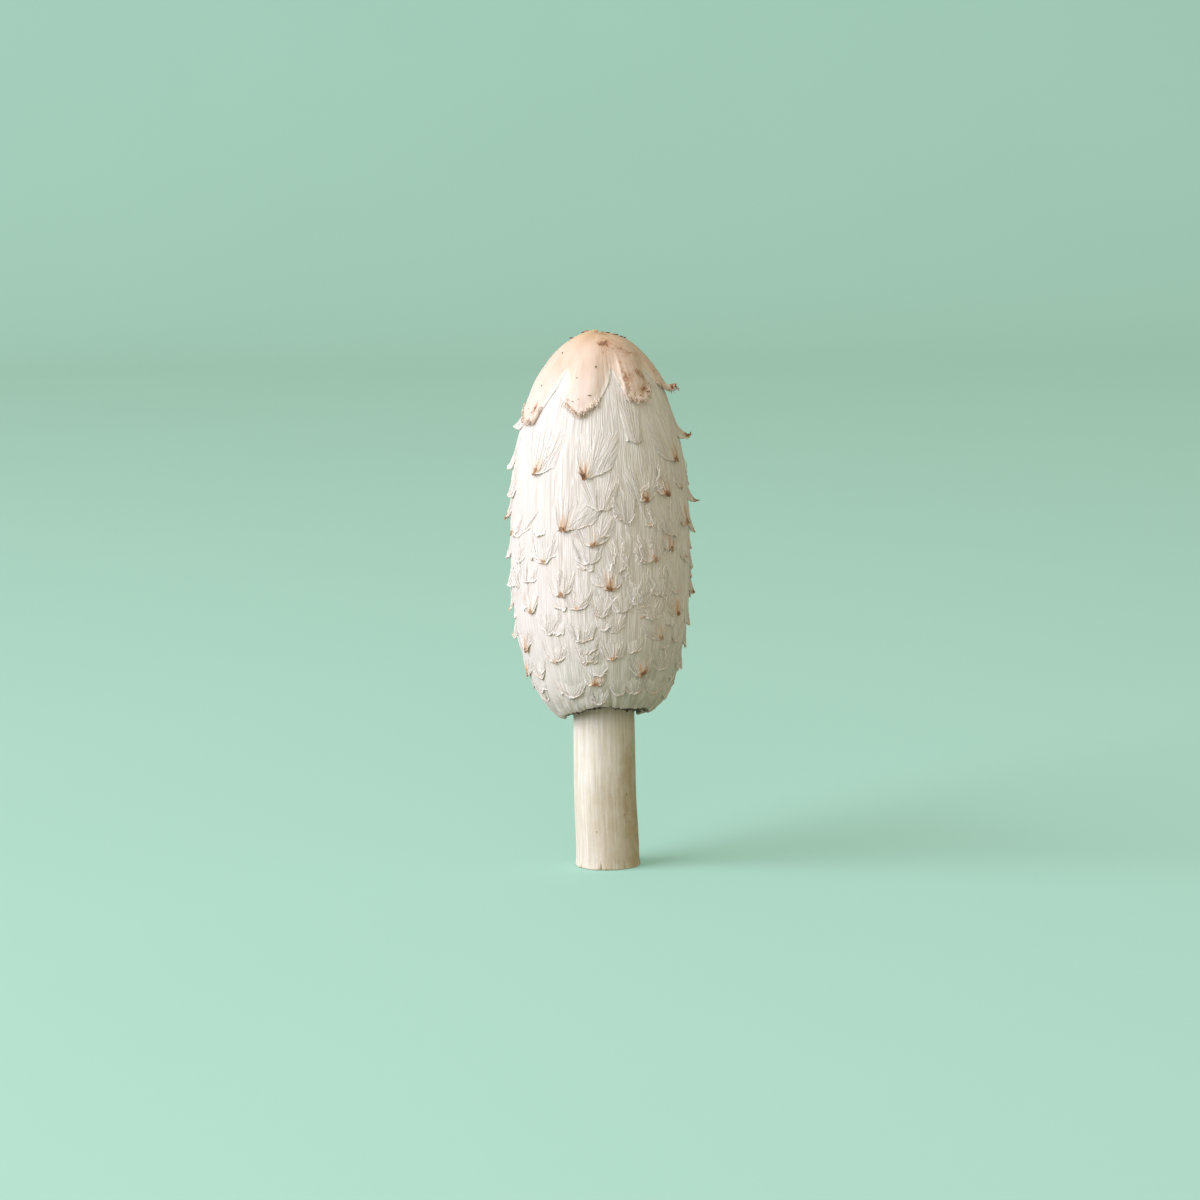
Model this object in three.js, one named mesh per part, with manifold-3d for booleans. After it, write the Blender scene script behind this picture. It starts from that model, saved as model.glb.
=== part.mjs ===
// A shaggy ink cap (Coprinus comatus) with its stem cut straight across, standing on the cut.
// Millimetres, +Z up. The origin is the centre of the cut. Azimuth 0 faces -Y and grows towards +X.
// Four solids: the stem, the cap's flesh with its shaggy scales, the smooth skin left on the
// crown, torn into flaps round its edge, and the gills that hang inside the cap round the stem.
import * as THREE from "three";
import { mergeVertices } from "three/addons/utils/BufferGeometryUtils.js";
import Module from "manifold-3d";

const wasm = await Module();
wasm.setup();

// Driving dimensions of the whole mushroom
const HEIGHT = 145.5;
const CAP_RADIUS = 23.8;
const CAP_WIDEST_Z = 86;
const CAP_FOOT_Z = 38.5;
const CROWN_POWERS = [2.8, 1.7];
const FOOT_POWERS = [2.4, 2.6];
const TOUCHING_GAP = 0.3;

// The margin, the cap's lower edge, which stands higher at the front
const MARGIN_Z = 41.3;
const MARGIN_RISE = 3.8;
const MARGIN_RISE_AZIMUTH = 17;
const MARGIN_RISE_SPREAD = 42;
const MARGIN_WAVE = 0.35;
const MARGIN_WAVES_ROUND = [5, 9];

// The cap's flesh
const FLESH = 2.2;
const FLESH_AT_MARGIN = 0.9;
const FLESH_AT_CROWN = 4.2;
const CROWN_FLESH_SHARE = [0.04, 0.3];
const THINNING_SHARE = [0.75, 1];
const FLESH_SEGMENTS = 36;
const FLESH_STATIONS = 13;
const STATION_CROWDING = 0.6;

// The crown's skin and its torn flaps. Each flap's edge runs from one notch to the next through
// [azimuth, height], and its flare is how far the middle of that edge turns out.
const SKIN = 0.8;
const SKIN_STATIONS = 8;
const FLARE_START = 0.78;
const SKIN_CLEARANCE_DEPTH = 0.02;
const SKIN_CLEARANCE_HEIGHT = 8;
const FLAPS = [
  { flare: 0.7, edge: [[-98, 134.5], [-88, 125], [-74, 121.5], [-58, 121.5], [-54, 125], [-42, 131]] },
  { flare: 1.1, edge: [[-38, 136], [-32, 131.5], [-28, 126.5], [-17, 124], [-2, 127], [9, 132.5]] },
  { flare: 1.1, edge: [[14, 136.5], [20, 132], [25, 128], [33, 127], [42, 127.5], [52, 131]] },
  { flare: 2.8, edge: [[58, 136], [66, 132.5], [78, 128.5], [94, 128], [104, 131.5]] },
  { flare: 1.2, edge: [[110, 135.5], [117, 130], [126, 124.5], [139, 123.5], [151, 128]] },
  { flare: 1.6, edge: [[160, 135], [167, 129], [176, 123], [190, 121.5], [203, 127]] },
  { flare: 0.8, edge: [[211, 136], [218, 130.5], [226, 126], [240, 124.5], [252, 128.5]] },
];

// The scales: each tip is [azimuth, height, width, curl, lean]. The curl is how far its point
// turns out, and the lean puts the point off the middle, towards one corner or the other.
// The tips are given for the front half. The back half follows the same tiers.
const SCALE_THICKNESS = 0.7;
const ROOT_DEPTH = 0.9;
const SIDE_DROP = 0.45;
const RISE_POWER = 0.8;
const CURL_START = 0.75;
const CURL_END = 1.05;
const SCALE_ROWS = [
  { along: 0.12, width: 0.75 },
  { along: 0.6, width: 0.95 },
  { along: 0.86, width: 0.6 },
  { along: 1, width: 0.14 },
];
const SEED = 7;
const TIERS = [
  { length: 23, lift: 1.2, tips: [
    [-90, 119, 15, 1.6, 0], [-45, 108.5, 18, 0.9, -0.1], [1, 108.5, 14.5, 1.0, -0.65],
    [25, 117, 7.5, 0.3, 0.2], [57, 111.5, 17, 0.8, 0.2], [90, 116, 14, 2.4, 0],
  ] },
  { length: 18, lift: 1.1, tips: [
    [-90, 109, 13, 1.2, 0], [-80, 102, 12, 1.1, 0], [0, 99.5, 13, 0.3, 0],
    [30, 101.5, 13, 0.8, 0], [45, 103, 7, 1.1, 0.3], [68, 104, 11, 0.2, 0], [90, 99, 12, 1.9, 0],
  ] },
  { length: 16, lift: 1.2, tips: [
    [-90, 95.5, 12, 1.3, 0], [-60, 91.5, 19, 0.8, -0.6], [-11, 94.5, 17.5, 0.9, -0.65],
    [-5, 91, 15.5, 0.7, 0], [15, 96.5, 9, 0.2, 0], [52, 91.5, 13, 0.4, 0.1],
    [69, 94, 9, 1.0, 0], [90, 91, 11, 1.1, 0],
  ] },
  { length: 14, lift: 1.1, tips: [
    [-90, 84.5, 11, 1.2, 0], [-66, 85, 11, 0.3, 0], [-42, 85.5, 15.5, 0.5, 0.1],
    [-9, 85.5, 11, 0.3, 0.1], [11, 83.5, 9, 0.2, 0], [33, 86, 12, 0.8, 0.1],
    [50, 88, 9, 0.5, 0], [70, 84, 11, 0.3, 0], [90, 81, 10, 0.7, 0],
  ] },
  { length: 12.5, lift: 1.0, tips: [
    [-90, 77, 11, 1.2, 0], [-55, 79.5, 12, 0.4, 0], [-28, 77, 11, 0.5, 0.1], [5, 78.5, 12.5, 0.5, 0],
    [24, 74.5, 9, 0.2, 0], [39, 76, 10, 0.3, 0.2], [56, 76, 11, 0.5, 0], [90, 74.5, 11, 1.1, 0],
  ] },
  { length: 11.5, lift: 1.0, tips: [
    [-90, 71, 11, 1.1, 0], [-57, 72, 12, 0.5, 0.3], [-17, 73, 12, 0.4, 0], [-1, 71.5, 9, 0.2, 0],
    [13, 72.5, 9, 0.3, 0], [34, 70, 12, 0.3, 0], [56, 70, 11, 0.6, 0.2], [90, 65.5, 11, 0.9, 0],
  ] },
  { length: 11, lift: 1.0, tips: [
    [-90, 63.5, 11, 1.2, 0], [-68, 61, 11, 0.7, 0.2], [-39, 66.5, 11, 0.4, 0], [-14, 64.5, 11, 0.4, -0.1],
    [8, 67.5, 9, 0.2, 0], [39, 64, 13, 0.5, 0.2], [62, 62.5, 10, 0.3, 0], [90, 60, 10, 0.8, 0],
  ] },
  { length: 10, lift: 0.9, tips: [
    [-78, 53.5, 9, 0.8, 0], [-56, 54, 9, 0.3, 0], [-36, 58.5, 11, 0.4, 0], [-11, 58.5, 9, 0.3, 0],
    [7, 60, 10, 0.6, 0], [27, 55, 10, 0.7, 0.2], [50, 55.5, 11, 0.3, 0], [88, 54, 10, 0.8, 0],
  ] },
  { length: 8, lift: 0.7, tips: [
    [-64, 47.5, 8, 0.3, 0], [-28, 49.5, 13, 0.4, 0], [-6, 52.5, 8, 0.4, 0],
    [-4, 47.5, 7, 0.2, 0], [26, 50, 9, 0.3, 0], [46, 49, 9, 0.3, 0], [72, 47, 8, 0.3, 0],
  ] },
];
const BACK_JITTER_AZIMUTH = 5;
const BACK_JITTER_Z = 1.6;
const BACK_CURL = [0.6, 1.5];
const SEAM_AZIMUTH = 85;

// The gills
const GILL_COUNT = 40;
const GILL_THICKNESS = 0.6;
const GILL_FOOT_Z = 41.4;
const GILL_FOOT_FOLLOW = 0.6;
const GILL_STEM_GAP = 0.8;
const GILL_FLESH_GAP = 0.6;
const GILL_TOP_Z = 132;
const GILL_COLLAR_WIDTH = 2.6;
const GILL_COLLAR_HEIGHT = 3;
const GILL_STEPS = 5;

// The stem, narrowing inside the cap, with the narrow hollow that this kind has
const STEM_FOOT_RADIUS = 8.55;
const STEM_NECK_RADIUS = 8.3;
const STEM_TOP_RADIUS = 4.6;
const STEM_NECK_Z = 46;
const STEM_TOP_Z = 138;
const HOLLOW_RADIUS = 2.2;
const HOLLOW_TOP_Z = 112;
const HOLLOW_TAPER = 0.7;
const HOLLOW_SIDES = 16;
const STEM_RIBS = [9, 4];
const STEM_RIB_DEPTH = 0.12;
const STEM_SEGMENTS = 54;
const STEM_STATIONS = 9;

const smooth = THREE.MathUtils.smoothstep;
const lerp = THREE.MathUtils.lerp;

// A repeatable draw between 0 and 1.
function chance(n) {
  const s = Math.sin((n + SEED) * 12.9898) * 43758.5453;
  return s - Math.floor(s);
}

// Radius of the flesh's outer surface at a height: one power curve above the widest part and one below.
function capRadius(z) {
  const crown = z > CAP_WIDEST_Z;
  const [p, q] = crown ? CROWN_POWERS : FOOT_POWERS;
  const end = crown ? HEIGHT - SKIN - TOUCHING_GAP : CAP_FOOT_Z;
  const t = Math.min(1, (z - CAP_WIDEST_Z) / (end - CAP_WIDEST_Z));
  return CAP_RADIUS * Math.pow(1 - Math.pow(t, p), 1 / q);
}

// The flesh's outer line from the crown to the foot, as a curve of (radius, height).
const MERIDIAN_POINTS = 60;
const meridian = new THREE.SplineCurve(
  Array.from({ length: MERIDIAN_POINTS + 1 }, (_, i) => {
    const turn = Math.cos((Math.PI * i) / MERIDIAN_POINTS);
    const top = HEIGHT - SKIN - TOUCHING_GAP;
    const reach = turn > 0 ? top - CAP_WIDEST_Z : CAP_WIDEST_Z - CAP_FOOT_Z;
    const z = CAP_WIDEST_Z + turn * reach;
    return new THREE.Vector2(capRadius(z), z);
  }),
);
const MERIDIAN_LENGTH = meridian.getLength();

// The share of the meridian's length, from the crown, at which it passes a height.
function shareAt(z) {
  let low = 0;
  let high = 1;
  for (let step = 0; step < 30; step++) {
    const middle = (low + high) / 2;
    if (meridian.getPointAt(middle).y > z) low = middle;
    else high = middle;
  }
  return low;
}

function around(radius, azimuth, z) {
  const a = THREE.MathUtils.degToRad(azimuth);
  return new THREE.Vector3(radius * Math.sin(a), -radius * Math.cos(a), z);
}

// A point of the cap: an azimuth, a share of the meridian, and an offset along the outward normal.
function onCap(azimuth, share, offset) {
  const u = THREE.MathUtils.clamp(share, 0, 1);
  const p = meridian.getPointAt(u);
  const t = meridian.getTangentAt(u);
  const radius = u > 0 ? Math.max(0, p.x - t.y * offset) : 0;
  return around(radius, azimuth, p.y + t.x * offset);
}

function marginZ(azimuth) {
  const away = THREE.MathUtils.euclideanModulo(azimuth - MARGIN_RISE_AZIMUTH + 180, 360) - 180;
  const rise = MARGIN_RISE * Math.exp(-Math.pow(away / MARGIN_RISE_SPREAD, 4));
  const a = THREE.MathUtils.degToRad(azimuth);
  const [slow, quick] = MARGIN_WAVES_ROUND;
  return MARGIN_Z + rise + MARGIN_WAVE * (Math.sin(slow * a + 1) + Math.sin(quick * a));
}

function stemRadius(z) {
  if (z < STEM_NECK_Z) return lerp(STEM_FOOT_RADIUS, STEM_NECK_RADIUS, z / STEM_NECK_Z);
  const t = Math.min(1, (z - STEM_NECK_Z) / (STEM_TOP_Z - STEM_NECK_Z));
  return lerp(STEM_NECK_RADIUS, STEM_TOP_RADIUS, t);
}

// A skin round the axis. place(column, station) gives each point, and the first and the last
// station lie on the axis or meet each other.
function revolve(segments, stations, place) {
  const profile = Array.from({ length: stations }, (_, j) => new THREE.Vector2(1, j));
  const lathe = new THREE.LatheGeometry(profile, segments);
  const position = lathe.attributes.position;
  for (let i = 0; i <= segments; i++)
    for (let j = 0; j < stations; j++) {
      const p = place(i % segments, j);
      position.setXYZ(i * stations + j, p.x, p.y, p.z);
    }
  return lathe;
}

// A closed tube through rings of points, each ring in the same order, with a fan at each end.
function loft(rings) {
  const n = rings[0].length;
  const index = [];
  for (let r = 0; r + 1 < rings.length; r++)
    for (let k = 0; k < n; k++) {
      const a = r * n + k;
      const b = r * n + ((k + 1) % n);
      index.push(a, b, a + n, b, b + n, a + n);
    }
  const last = (rings.length - 1) * n;
  for (let k = 1; k + 1 < n; k++) {
    index.push(0, k + 1, k);
    index.push(last, last + k, last + k + 1);
  }
  return new THREE.BufferGeometry().setFromPoints(rings.flat()).setIndex(index);
}

// A closed geometry as a solid that can be joined and cut.
function toSolid(geometry) {
  const bare = new THREE.BufferGeometry();
  bare.setAttribute("position", geometry.attributes.position);
  bare.setIndex(geometry.index);
  const merged = mergeVertices(bare, 1e-4);
  const corners = merged.index.array;
  const kept = [];
  for (let i = 0; i < corners.length; i += 3) {
    const [a, b, c] = [corners[i], corners[i + 1], corners[i + 2]];
    if (a !== b && b !== c && c !== a) kept.push(a, b, c);
  }
  const build = (order) =>
    new wasm.Manifold(
      new wasm.Mesh({
        numProp: 3,
        vertProperties: merged.attributes.position.array,
        triVerts: new Uint32Array(order),
      }),
    );
  const solid = build(kept);
  return solid.volume() > 0 ? solid : build(kept.reverse());
}

function toGeometry(solid) {
  const mesh = solid.getMesh();
  const geometry = new THREE.BufferGeometry();
  geometry.setAttribute("position", new THREE.BufferAttribute(mesh.vertProperties, 3));
  geometry.setIndex(new THREE.BufferAttribute(mesh.triVerts, 1));
  geometry.computeVertexNormals();
  return geometry;
}

function union(solids) {
  return wasm.Manifold.union(solids);
}

// The skin's columns: each point of the torn edge, and one halfway to the next. Each has its
// azimuth, the height of the edge, and how far the skin turns out there.
function skinColumns() {
  return FLAPS.flatMap(({ flare, edge }, k) => {
    const next = FLAPS[(k + 1) % FLAPS.length].edge[0];
    const turn = k + 1 < FLAPS.length ? 0 : 360;
    const ends = [...edge, [next[0] + turn, next[1]]];
    const wide = ends[edge.length][0] - ends[0][0];
    return edge.flatMap(([azimuth, z], i) =>
      [0, 0.5].map((part) => {
        const at = lerp(azimuth, ends[i + 1][0], part);
        const across = (2 * (at - ends[0][0])) / wide - 1;
        return { azimuth: at, z: lerp(z, ends[i + 1][1], part), out: flare * (1 - across ** 2) };
      }),
    );
  });
}

// The skin between two offsets from the flesh, reaching a little past its edge where asked.
function skinShell(inner, outer, past) {
  const columns = skinColumns();
  return revolve(columns.length, 2 * SKIN_STATIONS, (i, j) => {
    const onOuter = j < SKIN_STATIONS;
    const v = (onOuter ? j : 2 * SKIN_STATIONS - 1 - j) / (SKIN_STATIONS - 1);
    const { azimuth, z, out } = columns[i];
    const edge = shareAt(z) + past / MERIDIAN_LENGTH;
    return onCap(azimuth, v * edge, (onOuter ? outer : inner) + out * smooth(v, FLARE_START, 1));
  });
}

function makeCrownSkin() {
  return toSolid(skinShell(TOUCHING_GAP, TOUCHING_GAP + SKIN, 0));
}

// The flesh: a deep bell with a thick crown and a thin, curled-in margin.
function makeFlesh() {
  const azimuthOf = (i) => (360 * i) / FLESH_SEGMENTS;
  const last = FLESH_STATIONS - 1;
  return toSolid(
    revolve(FLESH_SEGMENTS, 2 * FLESH_STATIONS, (i, j) => {
      const outer = j < FLESH_STATIONS;
      const even = (outer ? j : 2 * FLESH_STATIONS - 1 - j) / last;
      const v = lerp(even, (1 - Math.cos(Math.PI * even)) / 2, STATION_CROWDING);
      const share = v * shareAt(marginZ(azimuthOf(i)));
      return onCap(azimuthOf(i), share, outer ? 0 : -fleshDepth(v));
    }),
  );
}

// The flesh's thickness at a share of the way from the crown to the margin.
function fleshDepth(v) {
  const crown = lerp(FLESH_AT_CROWN, FLESH, smooth(v, ...CROWN_FLESH_SHARE));
  return lerp(crown, FLESH_AT_MARGIN, smooth(v, ...THINNING_SHARE));
}

// All scale tips: the front half as given, and the back half from the same tiers, turned round.
function scaleTips() {
  const tips = [];
  TIERS.forEach((tier, t) => {
    tier.tips.forEach(([azimuth, z, width, curl, lean], k) => {
      tips.push({ ...tier, azimuth, z, width, curl, lean });
      if (Math.abs(azimuth) > SEAM_AZIMUTH) return;
      const draw = 100 * t + k;
      tips.push({
        ...tier,
        azimuth: azimuth + 180 + BACK_JITTER_AZIMUTH * (2 * chance(draw) - 1),
        z: z + BACK_JITTER_Z * (2 * chance(draw + 0.3) - 1),
        width,
        curl: curl * lerp(...BACK_CURL, chance(draw + 0.6)),
        lean: -lean,
      });
    });
  });
  return tips;
}

// One scale: a tongue that leaves the flesh at its root and stands off it towards its tip.
function makeScale({ azimuth, z, width, length, lift, curl, lean }) {
  const tip = shareAt(z);
  const rings = SCALE_ROWS.map((row) => {
    const share = tip - ((1 - row.along) * length) / MERIDIAN_LENGTH;
    const degreesPerMm = THREE.MathUtils.radToDeg(1 / meridian.getPointAt(Math.max(0, share)).x);
    const half = (row.width * width * degreesPerMm) / 2;
    const middle = azimuth + (lean * (1 - row.width) * width * degreesPerMm) / 2;
    const rise = lerp(-ROOT_DEPTH, lift, Math.pow(row.along, RISE_POWER));
    const out = rise + curl * smooth(row.along, CURL_START, CURL_END);
    const side = out - SIDE_DROP * (1 - row.along * row.along);
    return [
      onCap(middle - half, share, side),
      onCap(middle, share, out),
      onCap(middle + half, share, side),
      onCap(middle + half, share, side - SCALE_THICKNESS),
      onCap(middle - half, share, side - SCALE_THICKNESS),
    ];
  });
  return toSolid(loft(rings));
}

// The flesh with its scales, which are cut away from where the crown's skin lies.
function makeCap() {
  const clear = toSolid(skinShell(-SKIN_CLEARANCE_DEPTH, SKIN_CLEARANCE_HEIGHT, TOUCHING_GAP));
  const scales = union(scaleTips().map(makeScale)).subtract(clear);
  return makeFlesh().add(scales);
}

// One gill: a thin plate between the flesh and the stem.
function makeGill(azimuth) {
  const low = GILL_FOOT_Z + GILL_FOOT_FOLLOW * (marginZ(azimuth) - MARGIN_Z);
  const outline = [];
  for (let k = 0; k <= GILL_STEPS; k++) {
    const share = lerp(shareAt(low), shareAt(GILL_TOP_Z), k / GILL_STEPS);
    const depth = fleshDepth(share / shareAt(marginZ(azimuth))) + GILL_FLESH_GAP;
    const p = onCap(0, share, -depth);
    outline.push(new THREE.Vector2(-p.y, p.z));
  }
  const top = outline[outline.length - 1].y;
  const foot = outline[0].y;
  outline.push(new THREE.Vector2(stemRadius(top) + GILL_STEM_GAP, top));
  outline.push(new THREE.Vector2(stemRadius(foot) + GILL_STEM_GAP, foot));
  const plate = new THREE.ExtrudeGeometry(new THREE.Shape(outline), {
    depth: GILL_THICKNESS,
    bevelEnabled: false,
  });
  plate.translate(0, 0, -GILL_THICKNESS / 2);
  plate.rotateX(Math.PI / 2);
  plate.rotateZ(THREE.MathUtils.degToRad(azimuth - 90));
  return toSolid(plate);
}

// The gills, joined where they all meet round the top of the stem.
function makeGills() {
  const collarTop = onCap(0, shareAt(GILL_TOP_Z), -FLESH - GILL_FLESH_GAP).z;
  const inner = stemRadius(collarTop) + GILL_STEM_GAP;
  const section = [
    [inner, collarTop - GILL_COLLAR_HEIGHT],
    [inner + GILL_COLLAR_WIDTH, collarTop - GILL_COLLAR_HEIGHT],
    [inner + GILL_COLLAR_WIDTH, collarTop],
    [inner, collarTop],
    [inner, collarTop - GILL_COLLAR_HEIGHT],
  ];
  const collar = revolve(GILL_COUNT, section.length, (i, j) =>
    around(section[j][0], (360 * i) / GILL_COUNT, section[j][1]),
  );
  const plates = Array.from({ length: GILL_COUNT }, (_, i) => makeGill((360 * i) / GILL_COUNT));
  return union([toSolid(collar), ...plates]);
}

// The stem, faintly ribbed by its fibres, flat where it was cut, with its hollow open at the cut.
function makeStem() {
  const [fine, broad] = STEM_RIBS;
  const outside = revolve(STEM_SEGMENTS, STEM_STATIONS + 2, (i, j) => {
    const azimuth = (360 * i) / STEM_SEGMENTS;
    const z = STEM_TOP_Z * THREE.MathUtils.clamp((j - 1) / (STEM_STATIONS - 1), 0, 1);
    if (j === 0 || j === STEM_STATIONS + 1) return around(0, azimuth, z);
    const a = THREE.MathUtils.degToRad(azimuth);
    const rib = STEM_RIB_DEPTH * (Math.sin(fine * a) + Math.sin(broad * a + 2));
    return around(stemRadius(z) + rib, azimuth, z);
  });
  const hollow = new THREE.CylinderGeometry(
    HOLLOW_RADIUS * HOLLOW_TAPER,
    HOLLOW_RADIUS,
    2 * HOLLOW_TOP_Z,
    HOLLOW_SIDES,
  );
  hollow.rotateX(Math.PI / 2);
  return toSolid(outside).subtract(toSolid(hollow));
}

function node(name, solid, color, roughness) {
  const material = new THREE.MeshStandardMaterial({ color, roughness, metalness: 0 });
  const mesh = new THREE.Mesh(toGeometry(solid), material);
  mesh.name = name;
  return mesh;
}

const mushroom = new THREE.Group();
mushroom.add(node("stem", makeStem(), 0xebe4d3, 0.75));
mushroom.add(node("cap", makeCap(), 0xf3efe9, 0.9));
mushroom.add(node("crown_skin", makeCrownSkin(), 0xe8cfae, 0.7));
mushroom.add(node("gills", makeGills(), 0x2c2520, 0.6));

export default mushroom;
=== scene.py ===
# The looks of a shaggy ink cap (Coprinus comatus) that stands on its straight-cut stem.
# Lengths are in millimetres until a mesh is made. Azimuth 0 faces -Y and grows towards +X.
# Along the cap, places are given by s, the distance from the crown's top over the cap's surface.
import math
import bpy
import numpy as np
from mathutils import Matrix, Vector


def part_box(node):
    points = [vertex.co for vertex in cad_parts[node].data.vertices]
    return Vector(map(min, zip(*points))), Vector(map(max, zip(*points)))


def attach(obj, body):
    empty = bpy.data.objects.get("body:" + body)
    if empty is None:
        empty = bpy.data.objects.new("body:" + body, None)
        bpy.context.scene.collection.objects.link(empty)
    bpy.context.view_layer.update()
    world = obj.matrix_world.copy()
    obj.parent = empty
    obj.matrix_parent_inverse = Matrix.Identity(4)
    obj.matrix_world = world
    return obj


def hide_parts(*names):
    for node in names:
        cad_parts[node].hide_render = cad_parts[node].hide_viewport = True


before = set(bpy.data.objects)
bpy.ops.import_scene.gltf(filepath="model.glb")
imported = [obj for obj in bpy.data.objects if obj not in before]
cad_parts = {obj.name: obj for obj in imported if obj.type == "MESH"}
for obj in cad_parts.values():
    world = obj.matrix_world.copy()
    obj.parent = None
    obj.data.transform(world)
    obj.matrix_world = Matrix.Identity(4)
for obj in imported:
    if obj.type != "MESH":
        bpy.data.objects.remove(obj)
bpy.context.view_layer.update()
MM = 0.001

# Driving dimensions, the same as the solids'
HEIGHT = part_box("crown_skin")[1].z / MM
STEM_TOP_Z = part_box("stem")[1].z / MM
CAP_RADIUS = 23.8
CAP_WIDEST_Z = 86
CAP_FOOT_Z = 38.5
CROWN_POWERS = (2.8, 1.7)
FOOT_POWERS = (2.4, 2.6)
TOUCHING_GAP = 0.3
SKIN = 0.8
MARGIN_Z = 41.3
MARGIN_RISE = 3.8
MARGIN_RISE_AZIMUTH = 17
MARGIN_RISE_SPREAD = 42
MARGIN_WAVE = 0.35
MARGIN_WAVES_ROUND = (5, 9)
FLESH = 2.2
FLESH_AT_MARGIN = 0.9
FLESH_AT_CROWN = 4.2
CROWN_FLESH_SHARE = (0.04, 0.3)
THINNING_SHARE = (0.75, 1)
STEM_FOOT_RADIUS = 8.55
STEM_NECK_RADIUS = 8.3
STEM_TOP_RADIUS = 4.6
STEM_NECK_Z = 46
HOLLOW_RADIUS = 2.2
HOLLOW_TOP_Z = 112
HOLLOW_TAPER = 0.7
GILL_FOOT_Z = 41.4
GILL_FOOT_FOLLOW = 0.6
GILL_STEM_GAP = 0.8
GILL_FLESH_GAP = 0.6
GILL_TOP_Z = 132

# The dressed cap swells a little past the plain profile: how far, and over which s and z
CROWN_SWELL = 0.75
CROWN_SWELL_S = ((1, 9), (32, 20))
FOOT_SWELL = 0.6
FOOT_SWELL_Z = ((60, 50), (42, 47))
LEFT_SWELL = 0.65
LEFT_SWELL_LOST_AT_FOOT = 0.7

# The crown's flaps: how far the lower end stands out, over how many degrees, and the torn edge from
# one notch to the next through (azimuth, height)
FLAPS = [
    (0.25, 16, [(-98, 134.5), (-88, 125), (-74, 121.5), (-58, 121.5), (-54, 125), (-42, 131)]),
    (0.45, 16, [(-38, 136), (-32, 131.5), (-28, 126.5), (-17, 124), (-2, 127), (9, 132.5)]),
    (0.45, 14, [(14, 136.5), (20, 132), (25, 128), (33, 127), (42, 127.5), (52, 131)]),
    (3.0, 8, [(58, 136), (66, 132.5), (78, 128.5), (94, 128), (104, 131.5)]),
    (0.5, 14, [(110, 135.5), (117, 130), (126, 124.5), (139, 123.5), (151, 128)]),
    (0.6, 14, [(160, 135), (167, 129), (176, 123), (190, 121.5), (203, 127)]),
    (0.4, 16, [(211, 136), (218, 130.5), (226, 126), (240, 124.5), (252, 128.5)]),
]

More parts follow.
